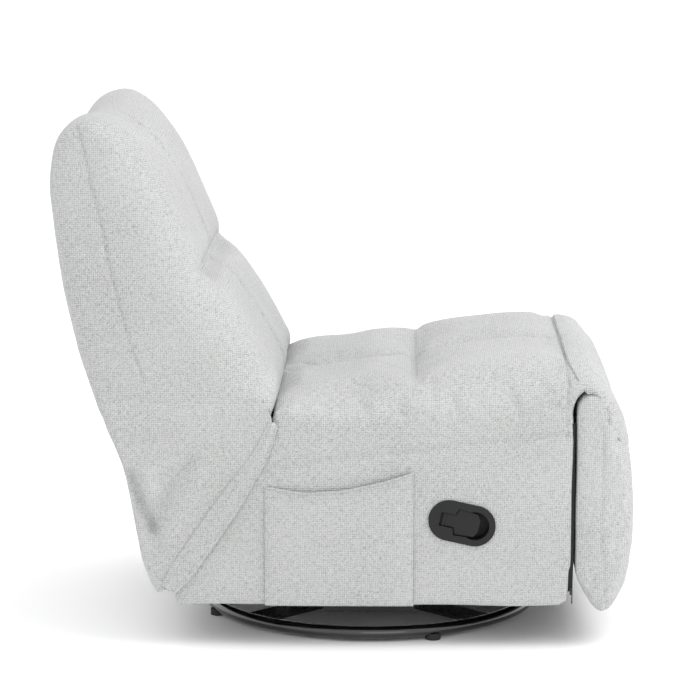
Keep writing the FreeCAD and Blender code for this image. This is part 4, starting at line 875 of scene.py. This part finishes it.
def search_tree(*pieces):
    """The surfaces of several pieces, ready for ray casts."""
    bm = bmesh.new()
    for piece in pieces:
        bm.from_mesh(piece.data)
    tree = BVHTree.FromBMesh(bm)
    bm.free()
    return tree


def taut(points):
    """The outer hull of a side profile that runs from the rear, over the top, to the front."""
    hull = []
    for point in points:
        while len(hull) > 1 and ((hull[-1] - hull[-2]).x * (point - hull[-2]).y
                                 - (hull[-1] - hull[-2]).y * (point - hull[-2]).x) < 0:
            hull.pop()
        hull.append(point)
    return hull


FRONT_SWEEP = [math.radians(56 + 3 * k) for k in range(60)]
FRONT_HALF = HALF_WIDTH - 6 * MM
FRONT_TUCK, TUCK_FROM = 4 * MM, 0.9
front_tree = search_tree(seat_cover, footrest_cover)
front_profiles = {}


def front_profile(x):
    """Where stretched cloth would lie over the roll and the footrest, at one X."""
    hinge = Vector((x, legrest_y, legrest_z))
    hits = []
    for angle in FRONT_SWEEP:
        ray = Vector((0, math.cos(angle), math.sin(angle)))
        place, normal, _, _ = front_tree.ray_cast(hinge + ray * 0.25, -ray)
        if place is not None and (place - hinge).dot(ray) > 0.02:
            place = place + normal * 1.2 * MM
            hits.append(Vector((place.y, place.z)))
    return taut(hits)


def front_place(s, t):
    x = (s - 0.5) * 2 * FRONT_HALF
    key = round(x, 4)
    if key not in front_profiles:
        path = front_profile(x)
        steps = [0.0]
        for a, b in zip(path, path[1:]):
            steps.append(steps[-1] + (b - a).length)
        front_profiles[key] = path, steps
    path, steps = front_profiles[key]
    along = t * steps[-1]
    y = float(np.interp(along, steps, [p.x for p in path]))
    z = float(np.interp(along, steps, [p.y for p in path]))
    tuck = FRONT_TUCK * max(0, t - TUCK_FROM) / 0.1
    return Vector((x, y + tuck, z))


front_cloth = cloth_grid("front_cloth", 110, 44, front_place)
smooth(front_cloth, 2, 0.4)
thicken(front_cloth, 2.4 * MM, 0)
finish_cloth(front_cloth, 0)
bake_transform(front_cloth)
print("front cloth", len(front_cloth.data.polygons), "faces")

# %% [markdown]
# ## Back skirt
#
# Between the backrest and the box hangs a loose U of cloth: across the rear and forward along
# each side to a slanting edge.  It has to fold as the back tips.  Its slack shows as a pinched fold
# near the rear corner.  The tables give Y at some heights: where the rear of the cloth hangs, and
# where each wing ends under its band.

# %% Skirt shape
SKIRT_REAR = [(0.076, 0.262), (0.084, 0.300), (0.108, 0.330), (0.156, 0.350), (0.222, 0.364),
              (0.287, 0.376), (0.322, 0.383), (0.345, 0.390), (0.395, 0.4105), (0.462, 0.430)]
STRIP_EDGE = [(0.098, 0.316), (0.140, 0.290), (0.190, 0.246), (0.255, 0.198), (0.320, 0.150),
              (0.405, 0.111), (0.432, 0.118), (0.460, 0.150)]
SKIRT_TOP = 0.452
HEM_SIDE, HEM_REAR = 0.098, 0.078
WING, WING_EASE = 0.3, 0.06
SKIRT_TUCK_FROM = 0.425
back_tree = search_tree(back_cover)


def follow(table, value):
    return float(np.interp(value, [row[0] for row in table], [row[1] for row in table]))


def over_back(start, ray, place, lift):
    """Lies a little outside the back cover where there is some, and where it was elsewhere."""
    hit, _, _, _ = back_tree.ray_cast(start, ray)
    if hit is None:
        return place
    return max(place, abs(hit.dot(ray)) + lift)


def skirt_place(s, t):
    """s runs from one wing's edge round the rear to the other's; t runs from hem to top."""
    width = HALF_WIDTH + 1.0 * MM
    corner = min(1, max(0, (min(s, 1 - s) - WING) / WING_EASE))
    hem = HEM_SIDE + (HEM_REAR - HEM_SIDE) * corner ** 2 * (3 - 2 * corner)
    z = hem + t * (SKIRT_TOP - hem)
    tuck = max(0, (z - SKIRT_TUCK_FROM) / (SKIRT_TOP - SKIRT_TUCK_FROM))
    lift = 2.2 * MM - 6 * MM * tuck ** 2
    rear = follow(SKIRT_REAR, z)
    if min(s, 1 - s) > WING:
        x = ((s - WING) / (1 - 2 * WING) - 0.5) * 2 * width
        sag = 4 * MM * math.sin(x * 23) * math.sin(math.pi * min(1, t * 1.3))
        inside = min(1, (width - abs(x)) / (30 * MM))
        y = over_back(Vector((x, 0.8, z)), Vector((0, -1, 0)), rear - 3 * MM * tuck, lift)
        return Vector((x, y * inside + rear * (1 - inside) + sag, z))
    side = -1 if s < WING else 1
    share = min(s, 1 - s) / WING
    front = follow(STRIP_EDGE, z)
    y = front + share * (rear - front)
    start = Vector((side * 0.6, y, z))
    x = over_back(start, Vector((-side, 0, 0)), width - 16 * MM * tuck ** 2, lift)
    return Vector((side * min(x, width + 2 * MM), y, z))


skirt = cloth_grid("back_skirt_cloth", 180, 60, skirt_place)
smooth(skirt, 6, 0.5)

# %% [markdown]
# The slack in each wing gathers in a pinch: two creases run down and meet in a V, with a soft
# swelling on both sides of them.  Each fold is a line of (Y, Z) points, a width and a height.

# %% Skirt folds


def on_wing(points, normals):
    return (np.abs(points[:, 0]) > HALF_WIDTH - 12 * MM) * np.clip(
        (0.43 - points[:, 2]) / 0.04, 0, 1)


def outward(piece, line, width, height):
    """Swells a wing near a line, away from the middle of the chair."""
    points = read_points(piece)
    gap, _ = distance_to_line(points[:, 1:], line)
    rise = height * np.exp(-(gap / width) ** 2) * on_wing(points, None)
    points[:, 0] += np.sign(points[:, 0]) * rise
    write_points(piece, points)


wing_folds = [
    ([(0.366, 0.312), (0.350, 0.266), (0.330, 0.214)], 9 * MM, -13 * MM),
    ([(0.262, 0.336), (0.302, 0.292), (0.330, 0.222)], 11 * MM, -8 * MM),
    ([(0.340, 0.318), (0.330, 0.276)], 13 * MM, 10 * MM),
    ([(0.246, 0.312), (0.276, 0.262), (0.304, 0.196)], 16 * MM, 7 * MM),
    ([(0.352, 0.232), (0.344, 0.170)], 12 * MM, 4 * MM),
    ([(0.398, 0.368), (0.350, 0.372), (0.290, 0.392)], 12 * MM, -4 * MM)]
for line, width, height in wing_folds:
    outward(skirt, np.array(line), width, height)
thicken(skirt, 3.0 * MM, -1)
finish_cloth(skirt, 0)
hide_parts("back_skirt")
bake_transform(skirt)

# %% [markdown]
# The slanting edge is finished with a flat band, turned and stitched twice, on each side.

# %% Slanting bands
BAND_UPPER = [(0.124, 0.412), (0.146, 0.366), (0.176, 0.322), (0.215, 0.272), (0.264, 0.200),
              (0.300, 0.146), (0.318, 0.112)]
BAND_LOWER = [(0.104, 0.408), (0.122, 0.350), (0.150, 0.296), (0.184, 0.238), (0.224, 0.180),
              (0.262, 0.126), (0.292, 0.096)]
BAND_VOXEL = 3.5 * MM
STITCH_SHARES = (0.22, 0.80)
inner, outer = HALF_WIDTH - 6 * MM, HALF_WIDTH + 5.5 * MM
for side, sign in (("left", 1), ("right", -1)):
    outline = smooth_outline(BAND_UPPER, 4, False) + smooth_outline(BAND_LOWER[::-1], 4, False)
    band = outline_block(f"slant_band_{side}", outline, sign * inner, sign * outer)
    remesh(band, BAND_VOXEL)
    smooth(band, 5)
    for share in STITCH_SHARES:
        stitches = [(a[0] + share * (b[0] - a[0]), a[1] + share * (b[1] - a[1]))
                    for a, b in zip(BAND_UPPER, BAND_LOWER)]
        groove(band, np.array(stitches), (1, 2), 2.6 * MM, 3.6 * MM, skin)
    finish_cloth(band, 1)
    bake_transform(band)
print("skirt and bands ready")

# %% [markdown]
# ### Zip tape
#
# The front of the box is closed by black tape.  Its lower end is the real zip; above that it runs up
# the gap beside the footrest as painted shade, the dark line of that shaded gap.

# %% Zip tape
TAPE_OUT = SIDE_FACE - 5 * MM
# The tape reaches up to the deck: above the real zip this is painted shade for the shaded gap beside the footrest.
TAPE_FOOT, TAPE_TOP = 0.102, DECK + 10 * MM
tape_outline = [(BODY_FRONT + 3 * MM, TAPE_FOOT), (BODY_FRONT - 5 * MM, TAPE_FOOT + 6 * MM),
                (BODY_FRONT - 6.5 * MM, 0.20), (BODY_FRONT - 6.5 * MM, TAPE_TOP),
                (BODY_FRONT + 3 * MM, TAPE_TOP)]
for side, sign in (("left", 1), ("right", -1)):
    tape = outline_block(f"zip_tape_{side}", tape_outline, sign * (TAPE_OUT - 1.5 * MM),
                         sign * TAPE_OUT)
    tape.data.materials.append(zip_tape_and_shade_black)
    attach(tape, "seat")

# %% [markdown]
# ## Side pocket
#
# A patch pocket: one panel of the same cloth, stitched down at both sides and the hem, with a
# turned top edge that sags between its corners.

# %% Pocket panel
POCKET_TOP = [(pocket_low.y, pocket_high.z), (pocket_low.y + 0.05, pocket_high.z - 16 * MM),
              (pocket_low.y + 0.12, pocket_high.z - 32 * MM),
              (pocket_high.y - 0.07, pocket_high.z - 37 * MM), (pocket_high.y, 0.292)]
POCKET_OUT = 5 * MM
WELT_TOP, WELT_SIDE = 2.2 * MM, 1.5 * MM


def pocket_place(s, t, extra=0.0):
    y = pocket_low.y + s * (pocket_high.y - pocket_low.y)
    z = pocket_low.z + 2 * MM + t * (follow(POCKET_TOP, y) - pocket_low.z - 2 * MM)
    from_edge = min(s, 1 - s) * (pocket_high.y - pocket_low.y)
    belly = (1 - math.exp(-from_edge / (9 * MM))) * (1 - math.exp(-(t + 0.02) / 0.05))
    return Vector((-(SIDE_FACE + 1.5 * MM + POCKET_OUT * belly + extra), y, z))


pocket = cloth_grid("pocket_panel", 70, 60, pocket_place)
thicken(pocket, 2.2 * MM, 0)
finish_cloth(pocket, 0)
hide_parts("side_pocket")
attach(pocket, "seat")


def welt(name, path, radius):
    """A turned and stitched edge: a slim tube of cloth along a path."""
    curve = bpy.data.curves.new(name, "CURVE")
    curve.dimensions = "3D"
    curve.bevel_depth = radius
    curve.bevel_resolution = 3
    spline = curve.splines.new("NURBS")
    spline.points.add(len(path) - 1)
    for point, place in zip(spline.points, path):
        point.co = (*place, 1)
    spline.order_u = 3
    spline.use_endpoint_u = True
    line = bpy.data.objects.new(name, curve)
    scene.collection.objects.link(line)
    graph = bpy.context.evaluated_depsgraph_get()
    mesh = bpy.data.meshes.new_from_object(line.evaluated_get(graph))
    bpy.data.objects.remove(line)
    piece = bpy.data.objects.new(name, mesh)
    scene.collection.objects.link(piece)
    return finish_cloth(piece, 0)


steps = [k / 16 for k in range(17)]
pocket_edges = {
    "pocket_welt_top": [pocket_place(k, 1.0, 1 * MM) for k in steps],
    "pocket_welt_under": [pocket_place(k, 0.955, 0.6 * MM) for k in steps],
    "pocket_welt_front": [pocket_place(0.005, k, 0.5 * MM) for k in steps],
    "pocket_welt_rear": [pocket_place(0.995, k, 0.5 * MM) for k in steps]}
for name, path in pocket_edges.items():
    edge = welt(name, path, WELT_TOP if name == "pocket_welt_top" else WELT_SIDE)
    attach(edge, "seat")

# %% [markdown]
# ## Floor, light and camera
#
# A pale floor that meets a white surround, one large soft key from above and in front, a weak low
# fill on the pocket's side, and a long lens at the height and angle of a product shot.

# %% Stage
floor_bm = bmesh.new()
bmesh.ops.create_grid(floor_bm, x_segments=1, y_segments=1, size=60)
floor_mesh = bpy.data.meshes.new("studio_floor")
floor_bm.to_mesh(floor_mesh)
floor_bm.free()
floor = bpy.data.objects.new("studio_floor", floor_mesh)
scene.collection.objects.link(floor)
floor_paint, _, floor_shader = new_finish("matt_white_floor_paint", 0.9)
floor_shader.inputs["Base Color"].default_value = linear("#F8F8F8")
floor.data.materials.append(floor_paint)

world = bpy.data.worlds.new("studio")
world.use_nodes = True
world.node_tree.nodes["Background"].inputs[0].default_value = linear("#FFFFFF")
world.node_tree.nodes["Background"].inputs[1].default_value = 1.3
scene.world = world
scene.view_settings.view_transform = "Standard"


def soft_box(name, place, aim, size, watts):
    lamp = bpy.data.lights.new(name, "AREA")
    lamp.shape = "RECTANGLE"
    lamp.size, lamp.size_y = size
    lamp.energy = watts
    item = bpy.data.objects.new(name, lamp)
    item.location = place
    item.rotation_euler = (Vector(aim) - Vector(place)).to_track_quat("-Z", "Y").to_euler()
    scene.collection.objects.link(item)


soft_box("key", (-1.0, -2.2, 3.0), (0, 0, 0.4), (2.2, 2.2), 52)
soft_box("fill", (-3.2, -0.6, 0.7), (0, 0, 0.3), (1.6, 1.6), 9)

CAMERA_PLACE = Vector((-5.346, -0.105, 1.401))
CAMERA_LOOK = Vector((0.98532, 0.01674, -0.16991))
SENSOR_MM, LENS_MM = 36, 149.14
lens = bpy.data.cameras.new("product_camera")
lens.sensor_width = SENSOR_MM
lens.lens = LENS_MM
camera = bpy.data.objects.new("product_camera", lens)
camera.location = CAMERA_PLACE
camera.rotation_euler = CAMERA_LOOK.to_track_quat("-Z", "Y").to_euler()
scene.collection.objects.link(camera)
scene.camera = camera
